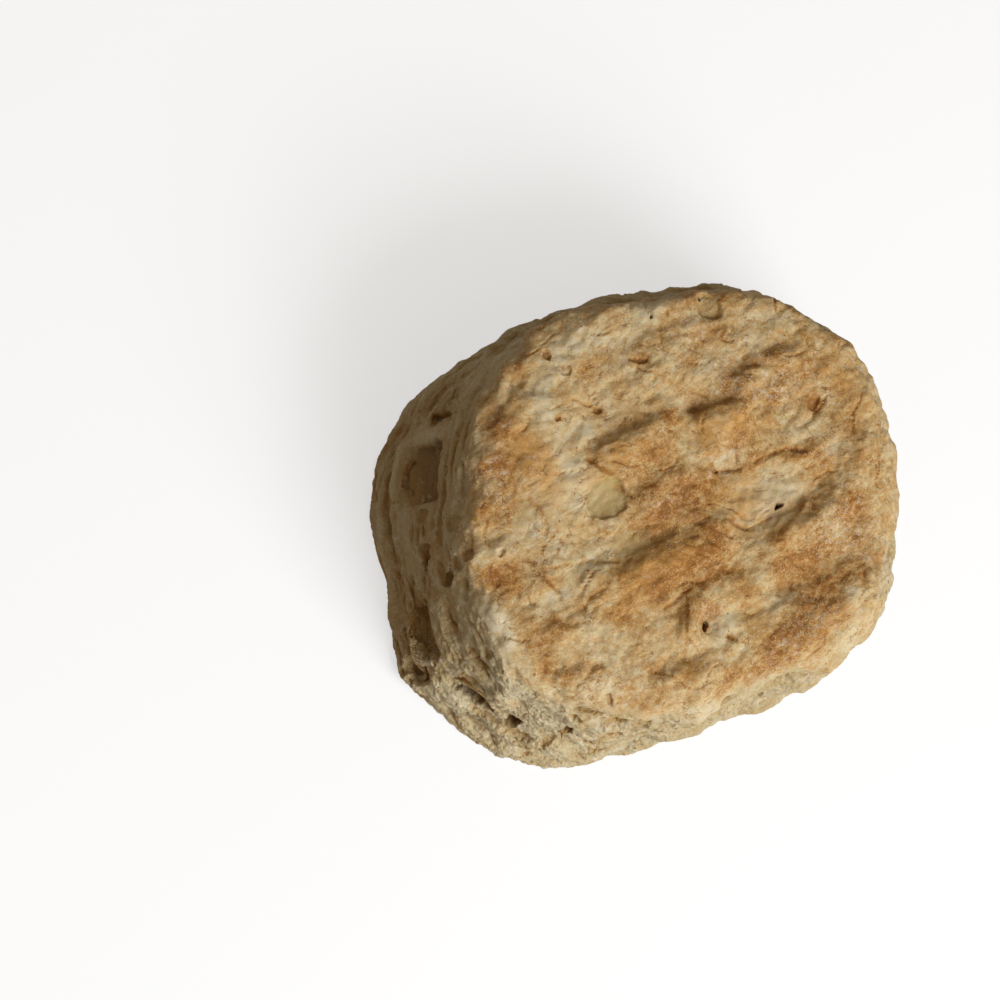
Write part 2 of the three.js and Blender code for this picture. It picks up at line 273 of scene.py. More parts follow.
# Browner and paler places of the crown, mostly how far it baked; some browner ones lie on the shaded
# flanks of the folds and paint part of their shade, and some paler ones lighten shaded valleys, which is
# painted light: middle x and y, half sizes along x and y, and how much.
BROWNED = [
    (-28.0, 4.0, 2.0, 2.6, 0.3),
    (-8.0, -2.0, 2.4, 5.0, 0.35),
    (-8.0, 20.0, 2.4, 6.0, 0.2),
    (16.4, -4.4, 1.4, 2.0, 0.3),
    (14.0, -24.0, 3.0, 4.0, 0.25),
    (20.4, 24.0, 2.0, 2.0, 0.35),
    (26.0, 6.0, 3.0, 8.0, 0.25),
    (24.0, -20.0, 3.0, 3.0, 0.25),
    (8.4, -2.0, 2.0, 3.0, 0.5),
    (-4.0, -30.6, 2.4, 3.4, 0.4),
    (0.4, -30.6, 2.2, 3.0, 0.25),
    (4.0, -32.0, 2.0, 2.0, 0.4),
    (0.4, -2.0, 2.0, 2.6, 0.5),
    (-16.0, 8.0, 2.0, 2.0, 0.35),
    (16.0, 8.0, 2.0, 2.0, 0.3),
    (-12.0, -6.0, 1.4, 4.0, 0.4),
    (-10.2, 11.5, 1.1, 4.0, 0.35),
    (-12.7, 18.5, 0.9, 2.6, 0.5),
    (-12.9, 25.0, 0.9, 2.6, 0.5),
    (-12.5, 30.8, 1.2, 0.8, 0.5),
    (-3.2, -2.0, 2.5, 6.0, 0.55),
    (0.0, 2.6, 3.0, 3.0, 0.5),
    (5.6, 1.0, 2.6, 2.6, 0.55),
    (4.2, -9.0, 1.2, 4.0, 0.15),
    (6.4, -19.0, 1.0, 1.2, 0.5),
    (12.0, 11.0, 1.6, 1.6, 0.45),
    (13.0, 16.0, 1.5, 2.0, 0.4),
    (9.8, 17.0, 1.2, 5.0, 0.4),
    (5.4, 27.0, 1.4, 2.4, 0.35),
    (2.4, 30.5, 2.0, 2.0, 0.5),
    (2.2, 20.0, 1.2, 2.6, 0.45),
    (-3.8, 26.6, 1.3, 1.3, 0.6),
    (-5.4, 32.0, 3.5, 2.5, 0.4),
    (22.4, 12.0, 2.6, 4.0, 0.65),
    (22.4, 19.0, 2.0, 3.0, 0.5),
    (24.8, 2.0, 1.0, 3.0, 0.4),
    (18.0, 12.0, 1.6, 2.4, 0.4),
    (17.4, 22.0, 1.6, 1.2, 0.4),
    (14.2, -7.8, 1.6, 2.2, 0.7),
    (12.6, -3.4, 1.2, 3.0, 0.4),
    (22.8, -12.0, 1.4, 1.6, 0.65),
    (20.0, -16.0, 0.8, 4.0, 0.4),
    (-22.3, -20.5, 1.6, 2.8, 0.55),
    (-19.0, -27.0, 2.0, 2.0, 0.3),
    (-10.4, -27.0, 2.0, 3.0, 0.25),
    (-28.4, -8.4, 1.0, 0.8, 0.5),
    (-17.7, -5.3, 0.8, 0.8, 0.5),
    (-19.5, -11.6, 0.7, 0.7, 0.4),
    (-21.6, 4.2, 0.7, 1.5, 0.5),
    (-25.4, 12.0, 1.2, 0.8, 0.4),
    (-24.0, 21.8, 1.8, 0.9, 0.55),
    (-17.6, 11.8, 1.2, 2.0, 0.4),
    (-18.0, 23.8, 0.8, 1.5, 0.3),
    (7.8, -27.5, 1.4, 1.4, 0.4),
    (14.8, -28.5, 0.8, 1.6, 0.4),
    (8.4, -8.6, 2.6, 8.6, 0.9),
    (11.0, -10.0, 2.0, 3.0, 0.5),
    (1.0, -6.0, 2.6, 3.0, 0.9),
    (6.4, -14.0, 2.2, 3.6, 0.45),
    (8.0, -31.6, 2.4, 2.4, 0.5),
    (12.0, -31.6, 2.0, 2.0, 0.4),
    (16.6, -4.4, 1.2, 1.6, 0.4),
    (12.6, 21.6, 2.0, 3.6, 0.5),
    (16.0, 15.6, 2.0, 3.0, 0.5),
    (-19.6, 15.0, 2.0, 4.0, 0.35),
    (27.6, 0.0, 1.8, 6.0, 0.5),
    (24.0, 6.0, 1.8, 3.0, 0.5),
    (16.0, 10.0, 1.8, 3.0, 0.4),
    (16.0, 24.0, 2.0, 3.0, 0.4),
    (12.0, 0.4, 1.6, 2.0, 0.4),
    (-12.0, 4.0, 1.4, 2.0, 0.5),
    (-24.0, -4.0, 2.0, 2.4, 0.4),
    (0.0, 5.0, 2.0, 3.0, 0.3),
    (-4.0, 12.4, 2.4, 2.0, 0.35),
    (0.0, 14.0, 2.0, 3.0, 0.3),
    (-2.6, -32.0, 2.6, 3.0, 0.5),
    (-19.6, -22.0, 3.0, 4.0, 0.25),
    (-4.0, 12.0, 2.4, 3.4, 0.3),
    (0.6, 12.0, 2.4, 2.6, 0.35),
    (16.4, 13.6, 2.0, 3.6, 0.45),
    (16.0, 1.6, 2.0, 3.0, 0.35),
    (28.0, 7.0, 1.4, 5.0, 0.3),
    (-8.0, 20.0, 2.5, 8.0, 0.2),
    (-8.0, -6.0, 2.0, 3.0, 0.3),
    (12.6, 26.0, 2.0, 3.0, 0.35),
    (11.0, -17.0, 2.4, 2.4, 0.35),
    (-18.0, -20.0, 4.0, 5.0, 0.3),
    (-24.6, -4.0, 2.0, 2.0, 0.3),
    (-4.0, -32.6, 2.0, 2.0, 0.5),
    (0.4, -3.6, 1.8, 2.0, 0.4),
    (0.0, 4.4, 2.0, 2.0, 0.3),
    (-17.0, -22.5, 3.5, 3.0, 0.3),
    (8.0, -6.0, 1.8, 3.0, 0.4),
]
PALE = [
    (-4.4, -12.0, 2.0, 2.0, 0.4),
    (-4.4, 4.4, 2.0, 2.2, 0.5),
    (4.6, 4.6, 1.6, 2.0, 0.4),
    (8.4, 12.0, 1.8, 2.0, 0.3),
    (-15.6, 24.0, 2.0, 2.0, 0.4),
    (-11.6, -4.0, 1.6, 2.0, 0.3),
    (-27.6, -6.0, 2.4, 3.4, 0.5),
    (-27.0, 8.0, 2.4, 3.0, 0.4),
    (-24.0, -12.0, 2.4, 3.0, 0.4),
    (-15.8, -9.6, 2.0, 4.0, 0.5),
    (-12.0, -4.0, 1.4, 2.6, 0.5),
    (-7.6, -24.0, 2.4, 2.4, 0.4),
    (-7.6, -16.0, 2.4, 2.4, 0.4),
    (0.0, 20.0, 2.0, 2.4, 0.35),
    (4.0, -12.0, 1.4, 2.4, 0.4),
    (8.4, 12.0, 1.8, 2.0, 0.5),
    (12.0, -8.0, 1.8, 2.4, 0.4),
    (16.4, 4.6, 2.0, 2.4, 0.5),
    (20.4, -3.6, 1.8, 2.4, 0.6),
    (20.4, 4.6, 1.8, 2.4, 0.5),
    (24.0, 18.0, 1.6, 3.0, 0.4),
    (4.4, 25.6, 2.0, 3.0, 0.35),
    (20.0, -28.0, 6.0, 5.0, 0.3),
    (6.0, -34.0, 8.0, 3.0, 0.3),
    (-12.0, -14.0, 3.0, 4.0, 0.5),
    (-20.0, -13.0, 3.0, 3.0, 0.3),
    (-5.4, -11.1, 3.0, 3.0, 0.3),
    (-6.0, -29.6, 3.0, 3.0, 0.5),
    (7.8, -17.8, 1.6, 2.0, 0.5),
    (4.6, 14.6, 3.0, 4.0, 0.5),
    (-16.0, 16.0, 2.0, 3.0, 0.25),
    (4.4, -26.0, 2.4, 3.0, 0.3),
    (-2.0, 10.0, 1.5, 4.0, 0.5),
    (2.0, -15.0, 2.0, 3.0, 0.3),
    (13.0, -20.0, 4.0, 4.0, 0.3),
    (18.4, -3.4, 1.6, 2.6, 0.35),
    (-27.0, 5.0, 2.0, 5.0, 0.35),
    (-15.0, 8.0, 2.0, 3.0, 0.35),
    (14.0, 20.0, 3.5, 4.0, 0.25),
    (29.4, 3.0, 1.4, 14.0, 0.35),
    (30.0, -20.0, 4.0, 10.0, 0.5),
    (0.0, -35.0, 12.0, 3.0, 0.5),
    (-17.0, -3.0, 4.0, 3.0, 0.3),
    (-28.4, 10.0, 1.6, 3.0, 0.5),
    (8.0, 8.0, 1.6, 4.6, 0.4),
    (12.0, -8.4, 1.8, 2.0, 0.3),
    (24.4, 16.5, 1.6, 2.2, 0.5),
    (3.6, -10.0, 1.6, 3.4, 0.3),
    (4.0, -24.0, 2.0, 2.0, 0.4),
]

# Places of the crown that took a clear amber, and places under a haze of flour, told the same way.
AMBER = [
    (-8.0, -10.4, 2.4, 2.4, 0.5),
    (-4.0, -14.0, 2.4, 3.0, 0.3),
    (8.6, 12.0, 2.0, 3.0, 0.5),
    (7.4, 24.0, 2.0, 3.0, 0.5),
    (20.6, 1.6, 2.4, 2.4, 0.5),
    (-8.4, 8.0, 2.4, 3.0, 0.4),
    (-14.0, -18.0, 6.0, 4.0, 0.6),
    (4.6, 10.4, 3.0, 3.0, 0.6),
    (-16.0, -2.0, 3.0, 3.0, 0.4),
    (-11.0, -6.0, 2.4, 4.0, 0.8),
    (-6.6, 12.0, 2.6, 6.0, 0.7),
    (6.4, -9.0, 1.8, 7.0, 0.8),
    (3.6, 7.0, 4.0, 2.4, 0.5),
    (-16.0, -18.4, 6.0, 2.2, 0.7),
    (-21.0, -6.0, 3.0, 4.0, 0.3),
    (10.4, -14.0, 3.0, 4.0, 0.4),
    (23.0, -11.0, 2.0, 3.0, 0.6),
    (-2.0, 34.0, 5.0, 2.4, 0.7),
    (27.0, 10.0, 1.4, 8.0, 0.4),
    (-8.0, 31.0, 3.0, 3.0, 0.4),
]
FLOURED = [
    (-16.0, -25.0, 4.0, 3.0, 0.8),
    (-12.0, 17.0, 2.2, 3.4, 1.2),
    (4.4, 24.6, 2.0, 3.0, 0.8),
    (16.0, 19.0, 3.0, 3.0, 0.6),
    (-27.6, -5.6, 2.4, 4.0, 0.6),
    (11.0, 26.0, 2.4, 3.0, 0.6),
    (28.0, 3.0, 1.6, 6.0, 0.5),
    (-7.6, 22.0, 3.0, 5.0, 0.8),
    (18.0, -26.0, 3.0, 3.0, 0.6),
    (4.4, -26.0, 2.4, 3.0, 0.5),
    (14.6, 19.6, 3.6, 4.4, 0.9),
    (-16.0, 17.0, 3.0, 6.0, 0.5),
    (-24.0, 2.0, 3.0, 5.0, 0.35),
    (25.4, 9.0, 2.0, 8.0, 0.6),
    (-2.4, -5.0, 2.0, 3.4, 0.6),
    (12.0, 6.0, 3.0, 2.4, 0.5),
    (14.0, -14.0, 3.0, 4.0, 0.4),
    (-4.0, -24.0, 5.0, 4.0, 0.4),
    (16.4, -5.0, 1.4, 1.8, 0.8),
    (-24.0, 14.0, 3.0, 3.0, 0.35),
    (20.0, -22.0, 4.0, 4.0, 0.5),
    (-1.4, 8.6, 1.4, 2.2, 1.2),
    (-8.0, 20.0, 2.0, 3.0, 0.5),
    (-8.0, 28.0, 2.0, 2.0, 0.6),
]

# Places where the skin over a bubble stayed thin and took no colour, an olive grey: middle x and
# y, half sizes along x and y, turn in degrees, and how much.
RAW = [
    (-5.4, -11.1, 2.9, 3.6, 0, 0.75),
    (5.6, 14.2, 0.9, 1.2, 0, 0.6),
    (-24.0, 18.9, 2.4, 1.8, 0, 0.4),
    (1.6, -11.0, 1.6, 4.0, 0, 0.4),
]

# Hollows of the side: degrees round, height, half sizes across and up, and depth, in mm.
HOLLOWS = [
    (218.2, 20.0, 0.7, 3.4, 0.4),
    (252.5, 17.2, 1.8, 2.2, 0.9),
    (243.0, 23.0, 6.0, 1.2, 0.6),
    (269.0, 11.8, 4.2, 3.6, 1.3),
    (211.0, 10.5, 4.0, 3.4, 0.5),
    (259.0, 22.3, 2.0, 1.2, 0.6),
    (257.7, 28.0, 1.2, 1.8, 0.6),
    (248.0, 27.0, 1.5, 2.0, 0.6),
    (277.0, 6.0, 1.4, 3.0, 1.4),
    (286.8, 12.2, 2.4, 1.4, 2.6),
    (291.2, 12.4, 1.0, 1.3, 2.2),
    (297.6, 13.0, 1.0, 2.4, 2.6),
    (308.0, 17.8, 0.9, 1.9, 1.8),
    (307.5, 11.5, 0.7, 3.0, 0.6),
    (308.0, 5.6, 0.7, 0.7, 0.7),
    (283.0, 4.3, 0.8, 0.6, 0.7),
    (278.5, 23.4, 0.8, 0.6, 0.7),
    (281.3, 22.6, 0.9, 0.7, 0.8),
    (305.5, 25.2, 1.2, 0.6, 0.7),
    (243.5, 16.5, 1.0, 1.8, 0.6),
    (247.0, 17.6, 0.9, 0.5, 0.7),
    (323.0, 23.0, 1.4, 4.0, 0.5),
    (279.5, 27.5, 0.8, 1.2, 0.6),
]

# The great pocket under a leaf's edge, deepest at its top: its middle in degrees round, the
# heights of its top and foot, half its width, and its depth, in mm.
POCKET = (233.0, 20.3, 9.0, 4.7, 2.6)

# Parts of the side that are made good before their own holes are torn: degrees round, height, and
# half sizes across and up, in mm.
WHOLE = [
    (297.0, 22.5, 5.0, 4.0),
    (204.0, 18.0, 5.0, 4.5),
    (286.0, 14.5, 6.0, 5.0),
    (297.5, 14.5, 4.5, 5.0),
    (308.0, 16.0, 3.6, 6.0),
]

# A shoulder of the side that keeps the light off what lies to its left: from degrees and height,
# to degrees and height, how far out, and half thickness.
SHOULDER = (285.5, 28.5, 291.5, 18.5, 0.9, 1.7)

# Pale places of the side, partly floury crumb and partly painted light where the shaded side catches some
# light, as at its left end and near its top: degrees round, height, half sizes across and up, and how
# pale.
CREAM = [
    (290.0, 24.0, 4.0, 3.6, 1.0),
    (284.0, 8.0, 3.4, 3.4, 0.9),
    (288.5, 5.5, 2.0, 2.4, 0.8),
    (301.0, 27.0, 3.0, 2.0, 0.7),
    (313.0, 13.0, 3.0, 5.0, 0.5),
    (301.5, 14.0, 1.4, 4.0, 0.6),
    (224.0, 14.0, 1.0, 6.0, 0.8),
    (230.0, 7.0, 4.0, 1.0, 0.8),
    (222.0, 23.0, 3.0, 2.0, 0.7),
    (254.0, 28.6, 1.4, 1.6, 0.8),
    (253.0, 12.0, 4.0, 2.4, 0.5),
    (243.0, 11.0, 2.6, 2.0, 0.6),
    (270.0, 26.0, 3.0, 2.0, 0.6),
    (240.0, 27.0, 8.0, 1.6, 0.4),
    (240.0, 3.2, 12.0, 1.0, 0.5),
    (205.0, 25.0, 8.0, 4.0, 0.6),
    (296.0, 22.0, 4.0, 3.0, 0.8),
    (303.0, 18.5, 3.0, 2.0, 0.6),
    (200.0, 8.0, 5.0, 6.0, 0.5),
    (302.0, 3.0, 14.0, 2.0, 0.5),
    (278.0, 4.5, 2.0, 2.0, 0.5),
]

# Ledges of the side: from degrees and height, to degrees and height, how far out, half thickness.
LEDGES = [
    (222.0, 9.0, 223.5, 20.0, 0.8, 1.2),
    (224.0, 7.0, 240.0, 8.0, 0.6, 0.9),
    (262.0, 16.6, 276.0, 16.6, 0.8, 1.1),
    (284.0, 26.4, 291.0, 20.6, 0.6, 1.0),
    (216.0, 24.0, 219.5, 14.0, 0.6, 1.0),
    (205.0, 17.0, 217.0, 14.6, 0.6, 0.9),
    (280.0, 9.0, 296.0, 7.0, 0.5, 2.0),
    (232.0, 3.4, 262.0, 3.6, 0.5, 1.2),
]


def step(value, low, high):
    """0 below low, 1 above high, smooth between. low may be the greater of the two."""
    share = np.clip((value - low) / (high - low), 0, 1)
    return share * share * (3 - 2 * share)


def noise_at(points, wide, tall=None, layer=0):
    """Smooth noise from -1 to 1 at points in mm, its lumps wide across and tall up."""
    scaled = points / np.array((wide, wide, tall or wide)) + 31.7 * layer
    return np.array([noise.noise(place) for place in scaled.tolist()])


def pores_at(points, wide, tall, layer=0):
    """Distance to the nearest of scattered cells, and a number from 0 to 1 that is each cell's."""
    scaled = points / np.array((wide, wide, tall)) + 17.3 * layer
    near = []
    own = []
    for place in scaled.tolist():
        distances, cells = noise.voronoi(place)
        near.append(distances[0])
        own.append(noise.cell(cells[0] * 7.0))
    return np.sqrt(np.abs(np.array(near))), np.abs(np.array(own)) % 1


def turned(points, x, y, turn):
    """Places across and along a feature whose middle is at x, y, in its own turned frame."""
    angle = math.radians(turn)
    over = points[:, 0] - x
    up = points[:, 1] - y
    return over * math.cos(angle) + up * math.sin(angle), up * math.cos(angle) - over * math.sin(angle)


def spot(points, x, y, across, along, turn=0):
    """How far points are from a spot's middle seen from above, 1 at its edge."""
    side, length = turned(points, x, y, turn)
    return np.hypot(side / across, length / along)


def lip_at(points, bent, x, y, turn, half, rise):
    """The step of one lip: a small ditch, a sharp rise, and a long gentle fall towards +X."""
    over, along = turned(points, x, y, turn)
    over = over + bent
    stand = step(over, -0.8, 0.8) * np.exp(-((np.maximum(over, 0) / 3.6) ** 2))
    ditch = 0.35 * np.exp(-(((over + 1.2) / 1.0) ** 2))
    return rise * (stand - ditch) * step(np.abs(along) / half, 1.1, 0.6)


def squarish(around, points, degrees, height, across, tall):
    """How far places of the side are from a squarish hole's middle, 1 at its edge."""
    over = np.abs(beside(around, degrees) / across)
    up = np.abs((points[:, 2] - height) / tall)
    return (over**2.3 + up**2.3) ** (1 / 2.3)


def line_at(flat, start, end):
    """How far places in a plane are from the line between two of them, in mm."""
    run = np.array(end) - np.array(start)
    away = flat - np.array(start)
    share = np.clip(away @ run / (run @ run), 0, 1)
    return np.linalg.norm(away - np.outer(share, run), axis=1)


def beside(around, degrees):
    """How far round the side from a place, in mm."""
    return ((around - degrees + 180) % 360 - 180) * ACROSS


def ridge_at(around, points, ridge, uneven=1):
    """How far out of the side a rounded ridge along a line stands."""
    start, low, end, high, out, half = ridge
    flat = np.column_stack((beside(around, start), points[:, 2]))
    away = line_at(flat, (0, low), ((end - start) * ACROSS, high)) * uneven
    return out * np.exp(-((away / half) ** 2))


def near_any(points, places, uneven):
    """How much each point belongs to soft round places of the crown."""
    total = np.zeros(len(points))
    for x, y, across, along, much in places:
        total += much * np.exp(-((spot(points, x, y, across, along) * uneven) ** 2))
    return total


def lumps_at(points, wide, tall=None, layer=0):
    """Rounded lumps with creases between them, from -0.5 to 1.5."""
    return 2 * np.abs(noise_at(points, wide, tall, layer)) - 0.5


def leaves_at(points, thick, wide, layer=0):
    """Thin leaves of dough that stick out, from -1 to 1, each its own way along its edge, and how
    near the seam between two of them is, as 0 to 1."""
    flat = points * (1, 1, 0)
    wander = 1.5 * noise_at(flat, 11, layer=layer) + 0.4 * noise_at(points, 2.6, layer=layer + 1)
    level = points[:, 2] / thick + wander
    leaf = np.floor(level)
    apart = np.array((0, 0, 5.3 * wide))
    this = noise_at(flat + np.outer(leaf, apart), wide, layer=layer + 2)
    above = noise_at(flat + np.outer(leaf + 1, apart), wide, layer=layer + 2)
    share = level - leaf
    blend = step(share, 0.78, 0.98)
    seam = np.exp(-(((np.minimum(share, 1 - share) * thick) / 0.45) ** 2))
    return this * (1 - blend) + above * blend, seam


def by_pocket(around, height):
    """How near places of the side are to the great pocket, 1 in it and just round it."""
    degrees, high, low, across, _ = POCKET
    level = step(height, low - 3, low - 1) * step(height, high + 4.5, high + 2.5)
    return level * step(np.abs(beside(around, degrees)), across + 4, across + 2)


def slope_at(around, height):
    """How far out the side's plain slope is."""
    degrees, feet, tops = np.array(SLOPE, dtype=float).T
    foot = np.interp(around, degrees, feet)
    top = np.interp(around, degrees, tops)
    return foot + (top - foot) * height / SLOPE_TOP


def wider_at(around):
    """How far the outline stands out from the plain slope, in mm."""
    turns, wider = np.array(OUTLINE).T
    return np.interp(around, turns, wider)


def made_good(around, height):
    """How far places of the side are brought back to the plain slope, 0 to 1."""
    share = by_pocket(around, height)
    for degrees, middle, across, tall in WHOLE:
        away = np.hypot(beside(around, degrees) / across, (height - middle) / tall)
        share = np.maximum(share, 0.9 * step(away, 1.2, 0.8))
    return share


def planed(points):
    """The seen side's bulges pressed back to its own slope, and the crown's rim drawn up sharp."""
    around = np.degrees(np.arctan2(points[:, 1], points[:, 0])) % 360
    out = np.hypot(points[:, 0], points[:, 1])
    height = points[:, 2]
    plain = slope_at(around, height)
    over = np.maximum(out - plain - 0.2, 0)
    short = np.maximum(plain - out, 0)
    seen = step(around, 192, 206) * step(around, 338, 322)
    change = 0.8 * short * step(short, 3.5, 1.5) * step(height, 4.5, 1)
    change -= 0.75 * over * step(height, 2, 5)
    change += made_good(around, height) * (plain - out - change)
    pressed = points.copy()
    change = seen * change + wider_at(around) * step(out, 20, 32)
    pressed[:, :2] *= (1 + change / np.maximum(out, 1))[:, None]
    top = slope_at(around, SLOPE_TOP)
    rim = np.exp(-(((out - top + 1.4) / 1.9) ** 2)) * step(height, 26.5, 29)
    rim *= 1 + 0.7 * noise_at(points, 3.5, layer=30)
    pressed[:, 2] += 0.8 * rim * step(around, 192, 206) * step(around, 300, 280)
    return pressed


def read(mesh, name):
    """The mesh's vertices or vertex normals, one in a row."""
    values = np.empty(len(mesh.vertices) * 3)
    getattr(mesh, name).foreach_get("co" if name == "vertices" else "vector", values)
    return values.reshape(-1, 3)


def applied(piece):
    """Makes the shape that the piece's modifiers give its own."""
    dressed = piece.evaluated_get(bpy.context.evaluated_depsgraph_get())
    shape = bpy.data.meshes.new_from_object(dressed)
    piece.modifiers.clear()
    piece.data = shape


def even_copy(source, name):
    """A new object with the source's shape as even small faces."""
    piece = bpy.data.objects.new(name, source.data.copy())
    bpy.context.scene.collection.objects.link(piece)
    even = piece.modifiers.new("even", "REMESH")
    even.mode = "VOXEL"
    even.voxel_size = GRID
    soft = piece.modifiers.new("soft", "SMOOTH")
    soft.factor = 0.5
    soft.iterations = 5
    applied(piece)
    return piece


def eased(piece, weights):
    """Smooths the piece's shape by weights, one for each of its vertices."""
    there = piece.vertex_groups.new(name="there")
    for index in np.flatnonzero(weights > 0.05).tolist():
        there.add([index], float(weights[index]), "REPLACE")
    soft = piece.modifiers.new("eased", "SMOOTH")
    soft.vertex_group = "there"
    soft.factor = 0.5
    soft.iterations = 60
    applied(piece)
    piece.vertex_groups.clear()


def hollowness(mesh, points, normals, reach):
    """For each vertex, the share of rays into the open that meet the biscuit within reach."""
    faces = [tuple(face.vertices) for face in mesh.polygons]
    tree = BVHTree.FromPolygons((points * MM).tolist(), faces)
    rays = 10
    golden_turn = 2.399963
    met = np.zeros(len(points))
    for ray in range(rays):
        height = 1 - (ray + 0.5) / rays * 0.9
        turn = ray * golden_turn
        flat = math.sqrt(1 - height * height)
        way = np.array((flat * math.cos(turn), flat * math.sin(turn), height))
        aside = np.cross(normals, (0.31, 0.77, 0.56))
        aside /= np.linalg.norm(aside, axis=1)[:, None]
        other = np.cross(normals, aside)
        ways = aside * way[0] + other * way[1] + normals * way[2]
        starts = points * MM + normals * 0.05 * MM
        for index, (start, direction) in enumerate(zip(starts.tolist(), ways.tolist())):
            if tree.ray_cast(start, direction, reach * MM)[0] is not None:
                met[index] += 1
    return met / rays


def fewer_faces(piece, triangles):
    """Thins the piece's flatter faces out. Returns, for each vertex left, the nearest one before."""
    before = KDTree(len(piece.data.vertices))
    for index, vertex in enumerate(piece.data.vertices):
        before.insert(vertex.co, index)
    before.balance()
    thin = piece.modifiers.new("thin", "DECIMATE")
    thin.ratio = min(1, triangles / (2 * len(piece.data.polygons)))
    applied(piece)
    return np.array([before.find(vertex.co)[1] for vertex in piece.data.vertices])


def set_values(mesh, name, values):
    layer = mesh.attributes.new(name, "FLOAT", "POINT")
    layer.data.foreach_set("value", values.astype(np.float32))


biscuit = even_copy(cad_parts["biscuit"], "baked_biscuit")
points = planed(read(biscuit.data, "vertices") / MM)
biscuit.data.vertices.foreach_set("co", (points * MM).ravel())
biscuit.data.update()
around = np.degrees(np.arctan2(points[:, 1], points[:, 0])) % 360
outer = step(np.hypot(points[:, 0], points[:, 1]), 26, 29)
eased(biscuit, made_good(around, points[:, 2]) * outer)
points = read(biscuit.data, "vertices") / MM
normals = read(biscuit.data, "vertex_normals")
around = np.degrees(np.arctan2(points[:, 1], points[:, 0])) % 360
uneven = 1 + 0.25 * noise_at(points, 1.3, layer=17) + 0.25 * noise_at(points, 3.6, layer=22)

# Where the surface is crust, torn crumb or underside.
ragged = noise_at(points, 5.5, layer=3) + 0.6 * noise_at(points, 2.0, layer=4)
crown = step(points[:, 2], 27, 29.5) * step(normals[:, 2], 0.2, 0.6)
under = step(normals[:, 2], -0.6, -0.9)
edge = CROWN_EDGE + 1.6 * np.exp(-((beside(around, 345) / 28) ** 2))
edge += 1.5 * step(around, 185, 205) * step(around, 300, 270)
crumb = step(points[:, 2] + 2.4 * ragged, edge + 1.6, edge - 1.6) * (1 - under)

# The side: leaves and the seams between them, crumbly stretches, tears, hollows and ledges.
wide_leaves, seams = leaves_at(points, 2.6, 6.5, layer=5)
thin_leaves, cracks = leaves_at(points, 1.3, 2.6, layer=9)
torn_open = step(noise_at(points, 7, 4, layer=11), -0.05, 0.25)
crumbly = step(noise_at(points, 6, 4, layer=24), -0.3, 0.25)
clods = 0.34 * lumps_at(points, 2.4, 1.6, layer=12) + 0.22 * lumps_at(points, 1.1, 0.9, layer=13)
near, own = pores_at(points, 3.4, 1.8)
tears = step(near, 0.42, 0.1) * (own > 0.7)
near, own = pores_at(points, 1.6, 1.0, layer=1)
pores = step(near, 0.45, 0.15) * (own > 0.55)
deeper = step(hollowness(biscuit.data, points, normals, 6.0), 0.35, 0.75)
leaves = 0.5 * wide_leaves + 0.3 * thin_leaves - 0.9 * seams * torn_open - 0.35 * cracks * torn_open
lit = step(around, 274, 282) * step(around, 326, 316)
rough = (0.3 + 0.7 * crumbly) * (clods - 1.2 * tears - 0.5 * pores)
rough += 0.15 * lit * lumps_at(points, 0.9, 0.8, layer=37)
bites = 0.5 * noise_at(points, 1.6, layer=33) + 0.4 * noise_at(points, 0.8, layer=34)
tattered = 1 + 0.3 * noise_at(points, 0.9, layer=35) + 0.22 * noise_at(points, 2.2, layer=36)
hollows = np.zeros(len(points))
torn_through = np.zeros(len(points))
for degrees, height, across, tall, deep in HOLLOWS:
    away = squarish(around, points, degrees, height, across, tall) * tattered
    hollows = np.maximum(hollows, deep * step(away, 1.1, 0.75))
    if deep > THROUGH:
        torn_through = np.maximum(torn_through, step(away, 1.3, 0.95))
degrees, high, low, across, deep = POCKET
share = np.clip((points[:, 2] - low) / (high - low), 0, 1)
share *= step(points[:, 2] + bites, high + 0.4, high - 0.4)
share *= step(np.abs(beside(around, degrees)) + bites, across + 0.5, across - 0.5)
hollows = np.maximum(hollows, deep * share)
# Painted shade in the upper part of the pocket, under the leaf's edge.
dark = 0.35 * step(share - 0.03 * beside(around, degrees), 0.2, 0.5) * step(share, 0, 0.1)
cream = np.zeros(len(points))
for degrees, height, across, tall, much in CREAM:
    away = np.hypot(beside(around, degrees) / across, (points[:, 2] - height) / tall) * uneven
    cream = np.maximum(cream, much * step(away, 1.3, 0.7))
ledges = np.zeros(len(points))
for ledge in LEDGES:
    ledges = np.maximum(ledges, 0.5 * ridge_at(around, points, ledge, uneven))
calm = 1 - step(around, 260, 276) * step(around, 335, 315)
quiet = (1 - 0.7 * deeper) * (1 - 0.7 * step(hollows, 0.2, 1.0))
quiet = quiet * (1 - 0.35 * calm) * (1 - 0.3 * cream)
quiet *= 1 - 0.6 * by_pocket(around, points[:, 2])
broader = 0.5 * step(np.abs(beside(around, 203)), 12, 6)
broader += 0.4 * step(np.abs(beside(around, 303)), 20, 12)
relief = (leaves + rough) * quiet
side_push = crumb * np.minimum(relief + ledges - hollows, 0.5 - 0.1 * calm)
shoulder = ridge_at(around, points, SHOULDER)
side_push += crumb * (broader * step(points[:, 2], 12, 6) + shoulder)

